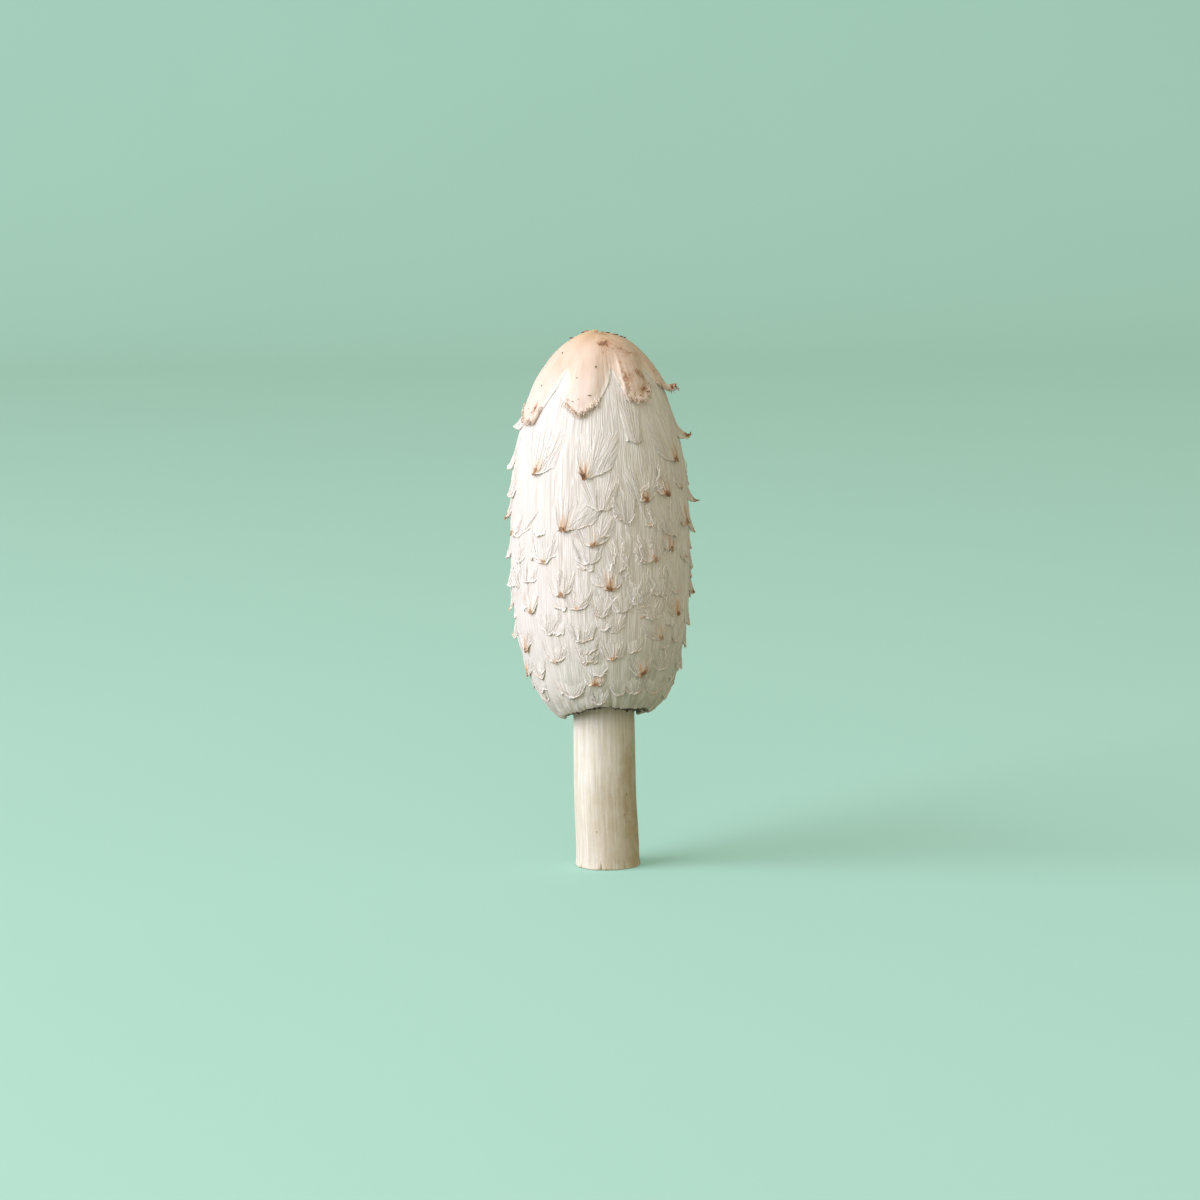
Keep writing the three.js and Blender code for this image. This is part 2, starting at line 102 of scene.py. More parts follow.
# The scales, tier by tier: length, lift, and each tip as azimuth, height, width, curl, lean and
# how brown it is. The back half follows the front's tiers, turned round and jittered.
SEED = 7
TIERS = [
    (23, 1.2, [
        (-90, 119, 15, 1.6, 0, 0.1), (-45, 108.5, 18, 0.9, -0.1, 0.8), (1, 108.5, 14.5, 1.0, -0.65, 1),
        (25, 117, 7.5, 0.3, 0.2, 0), (57, 111.5, 17, 0.8, 0.2, 0.9), (90, 116, 14, 2.4, 0, 1),
    ]),
    (18, 1.1, [
        (-90, 109, 13, 1.2, 0, 0.1), (-80, 102, 12, 1.1, 0, 0.1), (0, 99.5, 13, 0.3, 0, 0),
        (30, 101.5, 13, 0.8, 0, 0.9), (45, 103, 7, 1.1, 0.3, 1), (68, 104, 11, 0.2, 0, 0.2),
        (90, 99, 12, 1.9, 0, 1),
    ]),
    (16, 1.2, [
        (-90, 95.5, 12, 1.3, 0, 0.6), (-60, 91.5, 19, 0.8, -0.6, 0.8), (-11, 94.5, 17.5, 0.9, -0.65, 1),
        (-5, 91, 15.5, 0.7, 0, 0.6), (15, 96.5, 9, 0.2, 0, 0), (52, 91.5, 13, 0.4, 0.1, 0.1),
        (69, 94, 9, 1.0, 0, 1), (90, 91, 11, 1.1, 0, 0.6),
    ]),
    (14, 1.1, [
        (-90, 84.5, 11, 1.2, 0, 0.1), (-66, 85, 11, 0.3, 0, 0.1), (-42, 85.5, 15.5, 0.5, 0.1, 0.4),
        (-9, 85.5, 11, 0.3, 0.1, 0), (11, 83.5, 9, 0.2, 0, 0), (33, 86, 12, 0.8, 0.1, 0.5),
        (50, 88, 9, 0.5, 0, 0.8), (70, 84, 11, 0.3, 0, 0), (90, 81, 10, 0.7, 0, 0.3),
    ]),
    (12.5, 1.0, [
        (-90, 77, 11, 1.2, 0, 0.1), (-55, 79.5, 12, 0.4, 0, 0.2), (-28, 77, 11, 0.5, 0.1, 0.5),
        (5, 78.5, 12.5, 0.5, 0, 1), (24, 74.5, 9, 0.2, 0, 0), (39, 76, 10, 0.3, 0.2, 0.1),
        (56, 76, 11, 0.5, 0, 0.2), (90, 74.5, 11, 1.1, 0, 0.9),
    ]),
    (11.5, 1.0, [
        (-90, 71, 11, 1.1, 0, 0.4), (-57, 72, 12, 0.5, 0.3, 0.6), (-17, 73, 12, 0.4, 0, 0.2),
        (-1, 71.5, 9, 0.2, 0, 0), (13, 72.5, 9, 0.3, 0, 0), (34, 70, 12, 0.3, 0, 0),
        (56, 70, 11, 0.6, 0.2, 0.8), (90, 65.5, 11, 0.9, 0, 0.2),
    ]),
    (11, 1.0, [
        (-90, 63.5, 11, 1.2, 0, 0.2), (-68, 61, 11, 0.7, 0.2, 0.9), (-39, 66.5, 11, 0.4, 0, 0),
        (-14, 64.5, 11, 0.4, -0.1, 0.1), (8, 67.5, 9, 0.2, 0, 0), (39, 64, 13, 0.5, 0.2, 0.6),
        (62, 62.5, 10, 0.3, 0, 0.1), (90, 60, 10, 0.8, 0, 0.2),
    ]),
    (10, 1.1, [
        (-78, 53.5, 9, 0.8, 0, 0.9), (-56, 54, 9, 0.3, 0, 0.2), (-36, 58.5, 11, 0.4, 0, 0.3),
        (-11, 58.5, 9, 0.3, 0, 0), (7, 60, 10, 0.6, 0, 0.4), (27, 55, 10, 0.7, 0.2, 0.9),
        (50, 55.5, 11, 0.3, 0, 0.1), (88, 54, 10, 0.8, 0, 0.2),
    ]),
    (8, 1.2, [
        (-64, 47.5, 8, 0.3, 0, 0), (-28, 49.5, 13, 0.4, 0, 0.1), (-6, 52.5, 8, 0.4, 0, 0.8),
        (-4, 47.5, 7, 0.2, 0, 0), (26, 50, 9, 0.3, 0, 0), (46, 49, 9, 0.3, 0, 0), (72, 47, 8, 0.3, 0, 0),
    ]),
]
BACK_JITTER_AZIMUTH = 5
BACK_JITTER_Z = 1.6
BACK_CURL = (0.6, 1.5)
SEAM_AZIMUTH = 85


def lerp(a, b, t):
    return a + (b - a) * t


def smooth(x, low=0.0, high=1.0):
    t = np.clip((x - low) / (high - low), 0, 1)
    return t * t * (3 - 2 * t)


def near(distance, reach):
    """1 at no distance, falling away over a reach."""
    return np.exp(-((distance / reach) ** 2))


def chance(n):
    """The solids' own repeatable draw between 0 and 1."""
    s = math.sin((n + SEED) * 12.9898) * 43758.5453
    return s - math.floor(s)


def lattice(corner, seed):
    """A draw from -1 to 1 for each whole-numbered corner."""
    x, y, z = (corner[..., k].astype(np.int64) for k in range(3))
    h = (x * 374761393 + y * 668265263 + z * 2147483647 + seed * 974711) & 0xFFFFFFFF
    h = ((h ^ (h >> 13)) * 1274126177) & 0xFFFFFFFF
    return ((h ^ (h >> 16)) & 0xFFFF) / 32767.5 - 1


def noise(points, seed):
    """Smooth noise from -1 to 1 at points, with bumps about one unit apart."""
    base = np.floor(points)
    f = points - base
    f = f * f * (3 - 2 * f)
    total = 0
    for dx in (0, 1):
        for dy in (0, 1):
            for dz in (0, 1):
                share = np.abs(1 - dx - f[..., 0]) * np.abs(1 - dy - f[..., 1]) * np.abs(1 - dz - f[..., 2])
                total = total + share * lattice(base + (dx, dy, dz), seed)
    return total


def noise_at(x, y, z, seed):
    return noise(np.stack(np.broadcast_arrays(x, y, z), -1).astype(float), seed)


def ring_noise(azimuth, bumps, seed, z=0.5):
    """Noise round the axis, with so many bumps in each radian, and down it with z."""
    a = np.radians(azimuth)
    return noise_at(bumps * np.sin(a), bumps * np.cos(a), z, seed)


def apart(azimuth, place):
    """The turn from a place to an azimuth, between -180 and 180 degrees."""
    return (azimuth - place + 180) % 360 - 180


def band(x, rise, fall):
    """1 within a band, with a soft rise and a soft fall, each given by its outer and inner end."""
    return smooth(x, *rise) * smooth(x, *fall)


def cap_radius(z):
    crown = z > CAP_WIDEST_Z
    p = np.where(crown, CROWN_POWERS[0], FOOT_POWERS[0])
    q = np.where(crown, CROWN_POWERS[1], FOOT_POWERS[1])
    end = np.where(crown, HEIGHT - SKIN - TOUCHING_GAP, CAP_FOOT_Z)
    t = np.clip((z - CAP_WIDEST_Z) / (end - CAP_WIDEST_Z), 0, 1)
    return CAP_RADIUS * (1 - t**p) ** (1 / q)


MERIDIAN_STEPS = 1201


def make_meridian():
    """Tables of s, radius, height and outward normal down the cap's flesh."""
    turn = np.cos(np.pi * np.linspace(0, 1, MERIDIAN_STEPS))
    top = HEIGHT - SKIN - TOUCHING_GAP
    z = CAP_WIDEST_Z + turn * np.where(turn > 0, top - CAP_WIDEST_Z, CAP_WIDEST_Z - CAP_FOOT_Z)
    r = cap_radius(z)
    s = np.concatenate([[0], np.cumsum(np.hypot(np.diff(r), np.diff(z)))])
    tr, tz = np.gradient(r, s), np.gradient(z, s)
    size = np.hypot(tr, tz)
    return s, r, z, -tz / size, tr / size


S_TABLE, R_TABLE, Z_TABLE, NR_TABLE, NZ_TABLE = make_meridian()


def s_at(z):
    return np.interp(-np.asarray(z, float), -Z_TABLE, S_TABLE)


def radius_at(s):
    return np.maximum(np.interp(s, S_TABLE, R_TABLE), 0.01)


def around(radius, azimuth, z):
    a = np.radians(azimuth)
    return np.stack(np.broadcast_arrays(radius * np.sin(a), -radius * np.cos(a), z), -1)


def swell(azimuth, s):
    """How far the dressed cap stands out: at the crown's shoulders, at the foot and on the left."""
    crown = band(s, *CROWN_SWELL_S)
    foot = band(np.interp(s, S_TABLE, Z_TABLE), *FOOT_SWELL_Z)
    left = LEFT_SWELL * np.maximum(-np.sin(np.radians(azimuth)), 0) ** 2
    left = left * (1 - crown) * (1 - LEFT_SWELL_LOST_AT_FOOT * foot)
    return CROWN_SWELL * crown + FOOT_SWELL * foot + left


def on_cap(azimuth, s, offset):
    """Points of the cap at azimuths and distances from the crown, raised by an offset."""
    s = np.clip(s, 0, S_TABLE[-1])
    offset = offset + swell(azimuth, s)
    r = np.interp(s, S_TABLE, R_TABLE) + np.interp(s, S_TABLE, NR_TABLE) * offset
    r = np.where(s > 0, np.maximum(r, 0), 0)
    z = np.interp(s, S_TABLE, Z_TABLE) + np.interp(s, S_TABLE, NZ_TABLE) * offset
    return around(r, azimuth, z)


def margin_z(azimuth):
    away = apart(azimuth, MARGIN_RISE_AZIMUTH) / MARGIN_RISE_SPREAD
    rise = MARGIN_RISE * np.exp(-(away**4))
    a = np.radians(azimuth)
    slow, quick = MARGIN_WAVES_ROUND
    return MARGIN_Z + rise + MARGIN_WAVE * (np.sin(slow * a + 1) + np.sin(quick * a))


def flesh_depth(v):
    crown = lerp(FLESH_AT_CROWN, FLESH, smooth(v, *CROWN_FLESH_SHARE))
    return lerp(crown, FLESH_AT_MARGIN, smooth(v, *THINNING_SHARE))


def stem_radius(z):
    low = lerp(STEM_FOOT_RADIUS, STEM_NECK_RADIUS, z / STEM_NECK_Z)
    high = lerp(STEM_NECK_RADIUS, STEM_TOP_RADIUS, (z - STEM_NECK_Z) / (STEM_TOP_Z - STEM_NECK_Z))
    return np.where(z < STEM_NECK_Z, low, high)


# Meshes

def grid_faces(rows, columns, start=0, close_rows=False, close_columns=False):
    """The quads of a grid of points, row by row. Closing joins the last row or column to the first."""
    i = np.arange(rows if close_rows else rows - 1)[:, None]
    j = np.arange(columns if close_columns else columns - 1)[None, :]
    k, m = (i + 1) % rows, (j + 1) % columns
    quads = [i * columns + j, i * columns + m, k * columns + m, k * columns + j]
    return np.stack(np.broadcast_arrays(*quads), -1).reshape(-1, 4) + start


class Surface:
    """Points with named values, and quads, gathered block by block into one mesh."""

    def __init__(self):
        self.points, self.faces, self.count = [], [], 0
        self.values = {"flow": [], "tone": [], "edge": []}

    def add(self, points, faces, flow, tone=0.0, edge=0.0):
        flat = points.reshape(-1, 3)
        self.faces.append(faces + self.count)
        self.points.append(flat)
        self.values["flow"].append(np.broadcast_to(flow, points.shape).reshape(-1, 3))
        for name, value in (("tone", tone), ("edge", edge)):
            self.values[name].append(np.broadcast_to(value, points.shape[:-1]).reshape(-1))
        self.count += len(flat)

    def make(self, name, node, material):
        points = np.concatenate(self.points) * MM
        faces = np.concatenate(self.faces)
        mesh = bpy.data.meshes.new(name)
        mesh.vertices.add(len(points))
        mesh.vertices.foreach_set("co", points.astype(np.float32).ravel())
        mesh.loops.add(faces.size)
        mesh.loops.foreach_set("vertex_index", faces.astype(np.int32).ravel())
        mesh.polygons.add(len(faces))
        mesh.polygons.foreach_set("loop_start", np.arange(0, faces.size, 4, dtype=np.int32))
        mesh.update(calc_edges=True)
        mesh.polygons.foreach_set("use_smooth", np.ones(len(faces), bool))
        for key, kind, slot_name in (("flow", "FLOAT_VECTOR", "vector"), ("tone", "FLOAT", "value"),
                                     ("edge", "FLOAT", "value")):
            attribute = mesh.attributes.new(key, kind, "POINT")
            data = np.concatenate(self.values[key]).astype(np.float32)
            attribute.data.foreach_set(slot_name, data.ravel())
        mesh.validate()
        mesh.materials.append(material)
        piece = bpy.data.objects.new(name, mesh)
        bpy.context.scene.collection.objects.link(piece)
        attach(piece, "root")
        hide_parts(node)
        return piece


# The scales

# Small flat scales between the others: the heights of their rows, how many a row, and their tier
SMALL_ROWS = (50.5, 56, 61.5, 67, 72.5, 78.5, 85, 93)
SMALL_PER_ROW = 9
SMALL_TIER = 9
# A scale's edge: how far its sides stand above its middle, and its kinks
SCALE_DROP = 0.28
KINKS = 8
KINK_REACH = 0.6
# The root and the sides sink into the flesh, and the face lifts, narrows, bulges and folds
SCALE_SINK = 0.45
SIDE_SINK = 0.6
LIFT_SHARE = 0.27
CONVERGENCE = 0.1
BULGE = (0.86, 0.3, 0.9)
FOLD_DEPTH = 0.05
FOLD_LENGTH = 12
# The lip turns out along the edge, and most where the tip rises
LIP = 0.4
LIP_ANGLE = math.radians(15)
TIP_LIP = 0.35
TIP_ANGLE = math.radians(125)
TIP_REACH = 2.3
TIP_RISE = 0.85
FULL_CURL = 2.4
# Colour: peach and a pale line along the edge, partly the edge's own paleness and partly a painted
# highlight, and fibres that fan out
PEACH = 0.11
PALE_REACH = 0.36
FAN = 0.5
# Noise along the edge: the width of a bump, a row of its own and a seed
RAGS = (1.1, 0.5, 3)
FINE_RAGS = (0.45, 2.5, 4)
LIP_WAVES = (2.4, 4.5, 5)
LIFT_WAVES = (3.5, 6.5, 7)
PEACH_PATCHES = (1.6, 8.5, 18)
# The scales at the left front lie closer
CALM = 0.7
CALM_AZIMUTH = -58
CALM_SPREAD = 36


def numbered(scales, first):
    """Each scale gets its number, the roundness of its edge and the kinks along it."""
    for n, scale in enumerate(scales, first):
        scale["n"] = n
        scale["point"] = 1.8 + 1.2 * chance(n + 0.7)
        scale["calm"] = 1 - CALM * near(scale["azimuth"] - CALM_AZIMUTH, CALM_SPREAD)
        rng = np.random.default_rng(SEED + n)
        scale["knots"] = np.sort(rng.uniform(-1, 1, KINKS))
        scale["kinks"] = rng.uniform(-KINK_REACH, KINK_REACH, KINKS)
    return scales


def scale_list():
    """Every scale as a dictionary, in the same places as the solids' scales."""
    scales = []
    for t, (length, lift, tips) in enumerate(TIERS):
        for k, (azimuth, z, width, curl, lean, brown) in enumerate(tips):
            common = dict(tier=t, length=length, lift=lift, width=width, brown=brown)
            scales.append(dict(common, azimuth=azimuth, z=z, curl=curl, lean=lean))
            if abs(azimuth) > SEAM_AZIMUTH:
                continue
            draw = 100 * t + k
            scales.append(dict(
                common,
                azimuth=azimuth + 180 + BACK_JITTER_AZIMUTH * (2 * chance(draw) - 1),
                z=z + BACK_JITTER_Z * (2 * chance(draw + 0.3) - 1),
                curl=curl * lerp(*BACK_CURL, chance(draw + 0.6)),
                lean=-lean,
            ))
    return numbered(scales, 0)


def small_scale_list():
    """The small scales, row by row, each drawn within limits."""
    rng = np.random.default_rng(SEED + 3)
    scales = []
    for row, z in enumerate(SMALL_ROWS):
        for k in range(SMALL_PER_ROW):
            scales.append(dict(
                tier=SMALL_TIER,
                length=rng.uniform(6, 8),
                lift=rng.uniform(0.7, 1.3),
                width=rng.uniform(5, 8.5),
                azimuth=-180 + 360 * (k + 0.5 * (row % 2) + rng.uniform(-0.3, 0.3)) / SMALL_PER_ROW,
                z=z + rng.uniform(-1.8, 1.8),
                curl=rng.uniform(0.1, 0.3),
                lean=rng.uniform(-0.5, 0.5),
                brown=max(0, rng.uniform(-0.6, 0.25)),
            ))
    return numbered(scales, 500)


def edge_noise(scale, across, kind):
    width, row, seed = kind
    return noise_at(across / width, scale["n"], row, seed)


def scale_reach(scale, u, across, x):
    """A scale's length along each line from its root: round, kinked and ragged at the edge."""
    ragged = np.interp(u, scale["knots"], scale["kinks"])
    ragged = ragged + 0.22 * edge_noise(scale, across, RAGS) + 0.2 * edge_noise(scale, across, FINE_RAGS)
    return scale["length"] - SCALE_DROP * scale["width"] * np.abs(x) ** scale["point"] + ragged


def scale_rise(scale, v, across, along, down, peak, x):
    """How far a scale's face stands out from the flesh, without its turned lip."""
    lift = scale["calm"] * LIFT_SHARE * scale["lift"] * (0.8 + 0.45 * edge_noise(scale, across, LIFT_WAVES))
    folds = noise_at(across, along / FOLD_LENGTH, scale["n"], 6) * smooth(v, 0.1, 0.7)
    rise = lift * smooth(v, 0.05, 1.0) ** 1.5 + scale["calm"] * FOLD_DEPTH * folds
    rise = rise - SCALE_SINK * (1 - v) ** 2 - SIDE_SINK * smooth(np.abs(x), 0.66, 1.0)
    return rise + TIP_RISE * peak * smooth(down, 5.5, 0.0) ** 1.5


def scale_surface(scale, u, v, raised=0.0):
    """Points of a scale's upper face. u runs across from -1 to 1, v from the root to the edge."""
    n, width, lean = scale["n"], scale["width"], scale["lean"]
    side = u - lean
    x = side / (1 - lean * np.sign(side))
    across = u * width / 2
    middle = lean * width / 2
    aside = across - middle
    reach = scale_reach(scale, u, across, x)
    along = v * reach
    down = reach - along
    peak = near(aside, TIP_REACH) * scale["curl"]
    lip = LIP + TIP_LIP * peak
    open_lip = np.clip(0.5 + 0.9 * edge_noise(scale, across, LIP_WAVES), 0, 1.2)
    bend = (LIP_ANGLE * open_lip + TIP_ANGLE * (peak / FULL_CURL) ** 2 + 0.05) / lip
    turned = np.maximum(lip - down, 0) * bend
    s = s_at(scale["z"]) - scale["length"] + np.minimum(along, reach - lip) + np.sin(turned) / bend
    offset = scale_rise(scale, v, across, along, down, peak, x) + (1 - np.cos(turned)) / bend
    gather = 1 - CONVERGENCE * smooth(v, 0.3, 1.0)
    shape = BULGE[0] + BULGE[1] * np.sin(np.pi * np.clip(v, 0, 1) ** BULGE[2])
    azimuth = scale["azimuth"] + np.degrees((middle + aside * gather * shape) / radius_at(s))
    points = on_cap(azimuth, s - raised * np.sin(turned), offset + raised * np.cos(turned))
    peach = PEACH * near(down, 0.5) * (0.8 + edge_noise(scale, across, PEACH_PATCHES))
    tone = np.maximum(scale["brown"] * tip_tone(down, aside, across, along, n), peach)
    # The pale edge is partly the torn edge's own colour and partly a painted highlight
    edge = near(down, PALE_REACH) * (1 - 0.5 * smooth(tone, 0.2, 0.7)) * (1 - 0.6 * np.abs(x) ** 3)
    fanned = middle + aside / (1 - FAN * smooth(v, 0.4, 1.0))
    flow = np.stack(np.broadcast_arrays(fanned + 0 * s, 7.3 * n + 0 * s, s), -1)
    return points, flow, tone, edge


# The brown of a tip: its core, the tan haze above it and the tan edge beside it, each with its
# reach up from the edge and its reach sideways from the tip
CORE_UP = 0.2
CORE_SIZE = (0.8, 1.05)
HAZE = 0.4
HAZE_SIZE = (4.2, 1.5)
HAZE_SPREAD = 0.3
BESIDE = 0.3
BESIDE_SIZE = (0.6, 4.5)


def tip_tone(down, aside, across, along, n):
    """How brown a scale is: a shrivelled tip, a tan haze above it, and tan along the edge beside it."""
    lumps = noise_at(across / 0.7, along / 0.9, n, 8)
    streaks = noise_at(across / 0.5, along / 4, n, 9)
    off = aside + 0.5 * noise_at(down / 1.5, 0.5, n, 10)
    core = near(down - CORE_UP, CORE_SIZE[0]) * near(off, CORE_SIZE[1]) * (1.15 + 0.7 * lumps)
    spread = HAZE_SIZE[1] + HAZE_SPREAD * np.maximum(down, 0)
    haze = HAZE * near(down, HAZE_SIZE[0]) * near(off, spread) * (0.75 + 0.8 * streaks)
    beside = BESIDE * near(down, BESIDE_SIZE[0]) * near(aside, BESIDE_SIZE[1]) * (0.7 + 0.9 * lumps)
    return np.maximum(core, np.maximum(haze, beside))


SCALE_ROWS = 24
SCALE_COLUMNS = 43
SMALL_SCALE_ROWS = 16
SMALL_SCALE_COLUMNS = 25
ROW_CROWDING = 1.5
UNDERSIDE = (1, 0.98, 0.93, 0.82, 0.6, 0.3, 0)
FILL_DEPTH = 0.9
EDGE_THICKNESS = 0.1


def add_scale(surface, scale, rows=SCALE_ROWS, columns=SCALE_COLUMNS):
    """A closed scale: its face, and an underside that fills it down into the flesh."""
    u = np.linspace(-1, 1, columns)[None, :]
    v = 1 - (1 - np.linspace(0, 1, rows)[:, None]) ** ROW_CROWDING
    under = np.array(UNDERSIDE)[:, None]
    thickness = lerp(FILL_DEPTH, EDGE_THICKNESS, smooth(under, 0.84, 1))
    sides = zip(scale_surface(scale, u, v), scale_surface(scale, u, under, -thickness))
    points, *values = (np.concatenate(pair) for pair in sides)
    surface.add(points, grid_faces(rows + len(UNDERSIDE), columns, close_rows=True), *values)


def tube_faces(strands, points, sides):
    ring = grid_faces(points, sides, close_columns=True)
    return (ring[None] + (np.arange(strands) * points * sides)[:, None, None]).reshape(-1, 4)


def unit(vectors):
    return vectors / (np.linalg.norm(vectors, axis=-1, keepdims=True) + 1e-9)


THINNEST = 0.25
TAPER_SPAN = (0.1, 0.93)


def add_strands(surface, paths, radius, flow, tone=0.0, edge=0.6, sides=3):
    """Thin tubes along paths of shape (strands, points, 3), tapering to both ends."""
    strands, count, _ = paths.shape
    direction = unit(np.gradient(paths, axis=1))
    across = unit(np.cross(direction, unit(paths * (1, 1, 0))))
    out = np.cross(across, direction)
    taper = THINNEST + (1 - THINNEST) * np.sin(np.pi * np.linspace(*TAPER_SPAN, count))
    size = (np.broadcast_to(radius, (strands, count)) * taper)[..., None, None]
    turn = (2 * np.pi * np.arange(sides) / sides)[None, None, :, None]
    ring = paths[:, :, None] + size * (np.cos(turn) * across[:, :, None] + np.sin(turn) * out[:, :, None])
    tone = np.broadcast_to(tone, (strands, count))[:, :, None]
    surface.add(ring, tube_faces(strands, count, sides), flow, tone, edge)


# Strands and curls stay this far inside a scale's corners
WIDEST_U = 0.97
STRAND_POINTS = 8
STRANDS_PER_SCALE = 12
STRAND_WAVER = (0.008, 0.008, 0.02, 0.05)
STRAND_GATHER = 0.35
STRAND_RADIUS = (0.03, 0.07)
STRAND_DRIFT = 0.35
SIDE_STRANDS = 4
SIDE_STRAND_RADIUS = (0.05, 0.11)
HEMS = 3
HEM_POINTS = 30
HEM_SPAN = 0.88
UPPER_HEM = 0.28
LOWER_HEM = 0.32
LOWER_HEM_TIER = 7
HEM_LIMITS = (0.04, 0.3)
CURLS = 6
CURL_POINTS = 4
CURL_RADIUS = (0.08, 0.16)
CURL_SIDES = 5


def own_flow(scale, row=0.0):
    return np.array([0.0, scale["n"], row])


def free_end(points, rng, reach):
    """Two more points past each path's end, drifting on from its last direction."""
    last = unit(points[:, -1] - points[:, -2])
    drift = rng.normal(0, STRAND_DRIFT, last.shape)
    step = (last + drift)[:, None] * reach[:, None, None] * np.array([0.5, 1.0])[None, :, None]
    return np.concatenate([points, points[:, -1:] + step], 1)


def add_face_strands(surface, scale, rng):
    """Loose fibres that lie on a scale, gather towards its tip and hang a little past it."""
    each, every = (STRANDS_PER_SCALE, 1), (STRANDS_PER_SCALE, STRAND_POINTS)
    waver = rng.choice(STRAND_WAVER, each)
    u = rng.uniform(-0.8, 0.8, each) + (waver * rng.normal(0, 1, every)).cumsum(1)
    v = lerp(rng.uniform(0.2, 0.8, each), 1.0, np.linspace(0, 1, STRAND_POINTS))
    u = lerp(u, scale["lean"], STRAND_GATHER * v**3)
    height = rng.uniform(0.02, 0.08, each) + 0.06 * rng.random(every)
    points, _, tone, _ = scale_surface(scale, np.clip(u, -WIDEST_U, WIDEST_U), v, height)
    paths = free_end(points, rng, rng.uniform(0.03, 0.6, STRANDS_PER_SCALE) ** 1.8)
    tones = np.concatenate([tone, tone[:, -1:], tone[:, -1:]], 1)
    add_strands(surface, paths, rng.uniform(*STRAND_RADIUS, each), own_flow(scale), tones, 1.0)


def add_side_strands(surface, scale, rng):
    """Thicker fibres that run down a scale's sides to its tip."""
    each = (SIDE_STRANDS, 1)
    steps = np.linspace(0, 1, STRAND_POINTS)
    way = rng.choice([-1, 1], each)
    start = scale["lean"] + way * rng.uniform(0.4, 0.8, each)
    u = np.clip(lerp(start, scale["lean"] + 0.1 * way, steps), -0.9, 0.9)
    v = lerp(rng.uniform(0.6, 0.9, each), rng.uniform(0.97, 1.0, each), steps)
    points, _, tone, _ = scale_surface(scale, u, v, 0.05)
    add_strands(surface, points, rng.uniform(*SIDE_STRAND_RADIUS, each), own_flow(scale), tone, 1.0)


def add_hem(surface, scale, rng):
    """The pale rolled line along a scale's edge, thicker here and thinner there."""
    u = np.linspace(-HEM_SPAN, HEM_SPAN, HEM_POINTS)[None, :] + np.zeros((HEMS, 1))
    v = 1 - rng.uniform(0, 0.02, (HEMS, 1)) * (1 + rng.normal(0, 0.6, (HEMS, HEM_POINTS)))
    points, _, tone, _ = scale_surface(scale, u, np.clip(v, 0, 1), 0.02)
    widest = LOWER_HEM if scale["tier"] >= LOWER_HEM_TIER else UPPER_HEM
    patches = noise_at(u * scale["width"] / 3, scale["n"], np.arange(HEMS)[:, None], 17)
    width = np.clip(widest * (0.55 + 0.5 * patches), *HEM_LIMITS)
    add_strands(surface, points, width, own_flow(scale, 9.0), tone, 1.0)


def add_tip_curls(surface, scale, rng):
    """Shrivelled brown shreds at a scale's tip."""
    size = 0.4 + 0.6 * scale["brown"]
    u = scale["lean"] + rng.normal(0, 1.0 / scale["width"], (CURLS, CURL_POINTS)) * 1.1
    v = np.linspace(0.93, 1.0, CURL_POINTS)[None, :] + 0 * u
    points, _, _, _ = scale_surface(scale, np.clip(u, -WIDEST_U, WIDEST_U), v, 0.08)
    for _ in range(2):
        points = free_end(points, rng, size * rng.uniform(0.08, 0.35, CURLS))
    tone = scale["brown"] * rng.uniform(0.35, 1.2, (CURLS, 1))
    radius = size * rng.uniform(*CURL_RADIUS, (CURLS, 1))
    add_strands(surface, points, radius, np.zeros(3), tone, 0.3, CURL_SIDES)


def add_lump(surface, centre, size, tone, edge=0.0, rows=5, columns=7):
    """A small flattened bead. Size is its half width around, up and out."""
    polar = np.linspace(0.05, np.pi - 0.05, rows)[:, None]
    turn = np.linspace(0, 2 * np.pi, columns, endpoint=False)[None, :]
    out = unit(centre * (1, 1, 0.0))
    up = np.array([0, 0, 1.0])
    side = np.cross(up, out)
    bead = (
        size[0] * (np.sin(polar) * np.cos(turn))[..., None] * side
        + size[1] * (np.cos(polar) + 0 * turn)[..., None] * up
        + size[2] * (np.sin(polar) * np.sin(turn))[..., None] * out
    )
    surface.add(centre + bead, grid_faces(rows, columns, close_columns=True), centre * 3, tone, edge)


def relief_layers(azimuth, s, layers):
    """Relief of several layers, each with a depth, bumps in each radian, a seed and a bump's length."""
    return sum(depth * ring_noise(azimuth, bumps, seed, s / length) for depth, bumps, seed, length in layers)


# The flesh under the scales

FLESH_COLUMNS = 260
FLESH_ROWS = 120
FLESH_INNER_ROWS = 22
FLESH_CROWDING = 0.9
FLOW_RADIUS = 24
# The cap's edge at the front: azimuth and height. It passes into the solids' own edge at the sides.
FRONT_MARGIN = [
    (-90, 41.0), (-75, 41.3), (-48, 42.7), (-31, 43.7), (-20, 44.8), (-13, 45.4), (0, 45.9),
    (9, 45.5), (22, 44.7), (34, 44.3), (51, 43.3), (79, 42.0), (110, 41.3),
]
# Relief of the flesh and of its crumpled zone, from where it starts to where it is full above the edge
FIBRE_LAYERS = [(0.12, 26, 13, 12)]
CRUMPLE_LAYERS = [(0.4, 16, 14, 2.2), (0.2, 33, 16, 1.3)]
CRUMPLE_ZONE = (11, 4)
ROLLED_IN = 0.3
# The ink along the edge: its reach, its gap, the sides where it pales, the clean lip that hides it,
# each given by its azimuth and spread, and the crumbs with the azimuths that they keep clear
INK_REACH = 1.0
INK_GAP = (4, 5)
INK_PALE = [(100, 42), (-76, 32)]
INK_LIP = (50, 14)
INK_CRUMBS = 170
CRUMB_FREE = [(-1, 9), (40, 150), (-108, -32)]


def dressed_margin_z(azimuth):
    """The cap's edge, at the front as the photo shows it."""
    turned = apart(azimuth, 0)
    places, heights = np.array(FRONT_MARGIN).T
    share = smooth(np.abs(turned - 10), 95, 65)
    return lerp(margin_z(azimuth), np.interp(turned, places, heights), share)


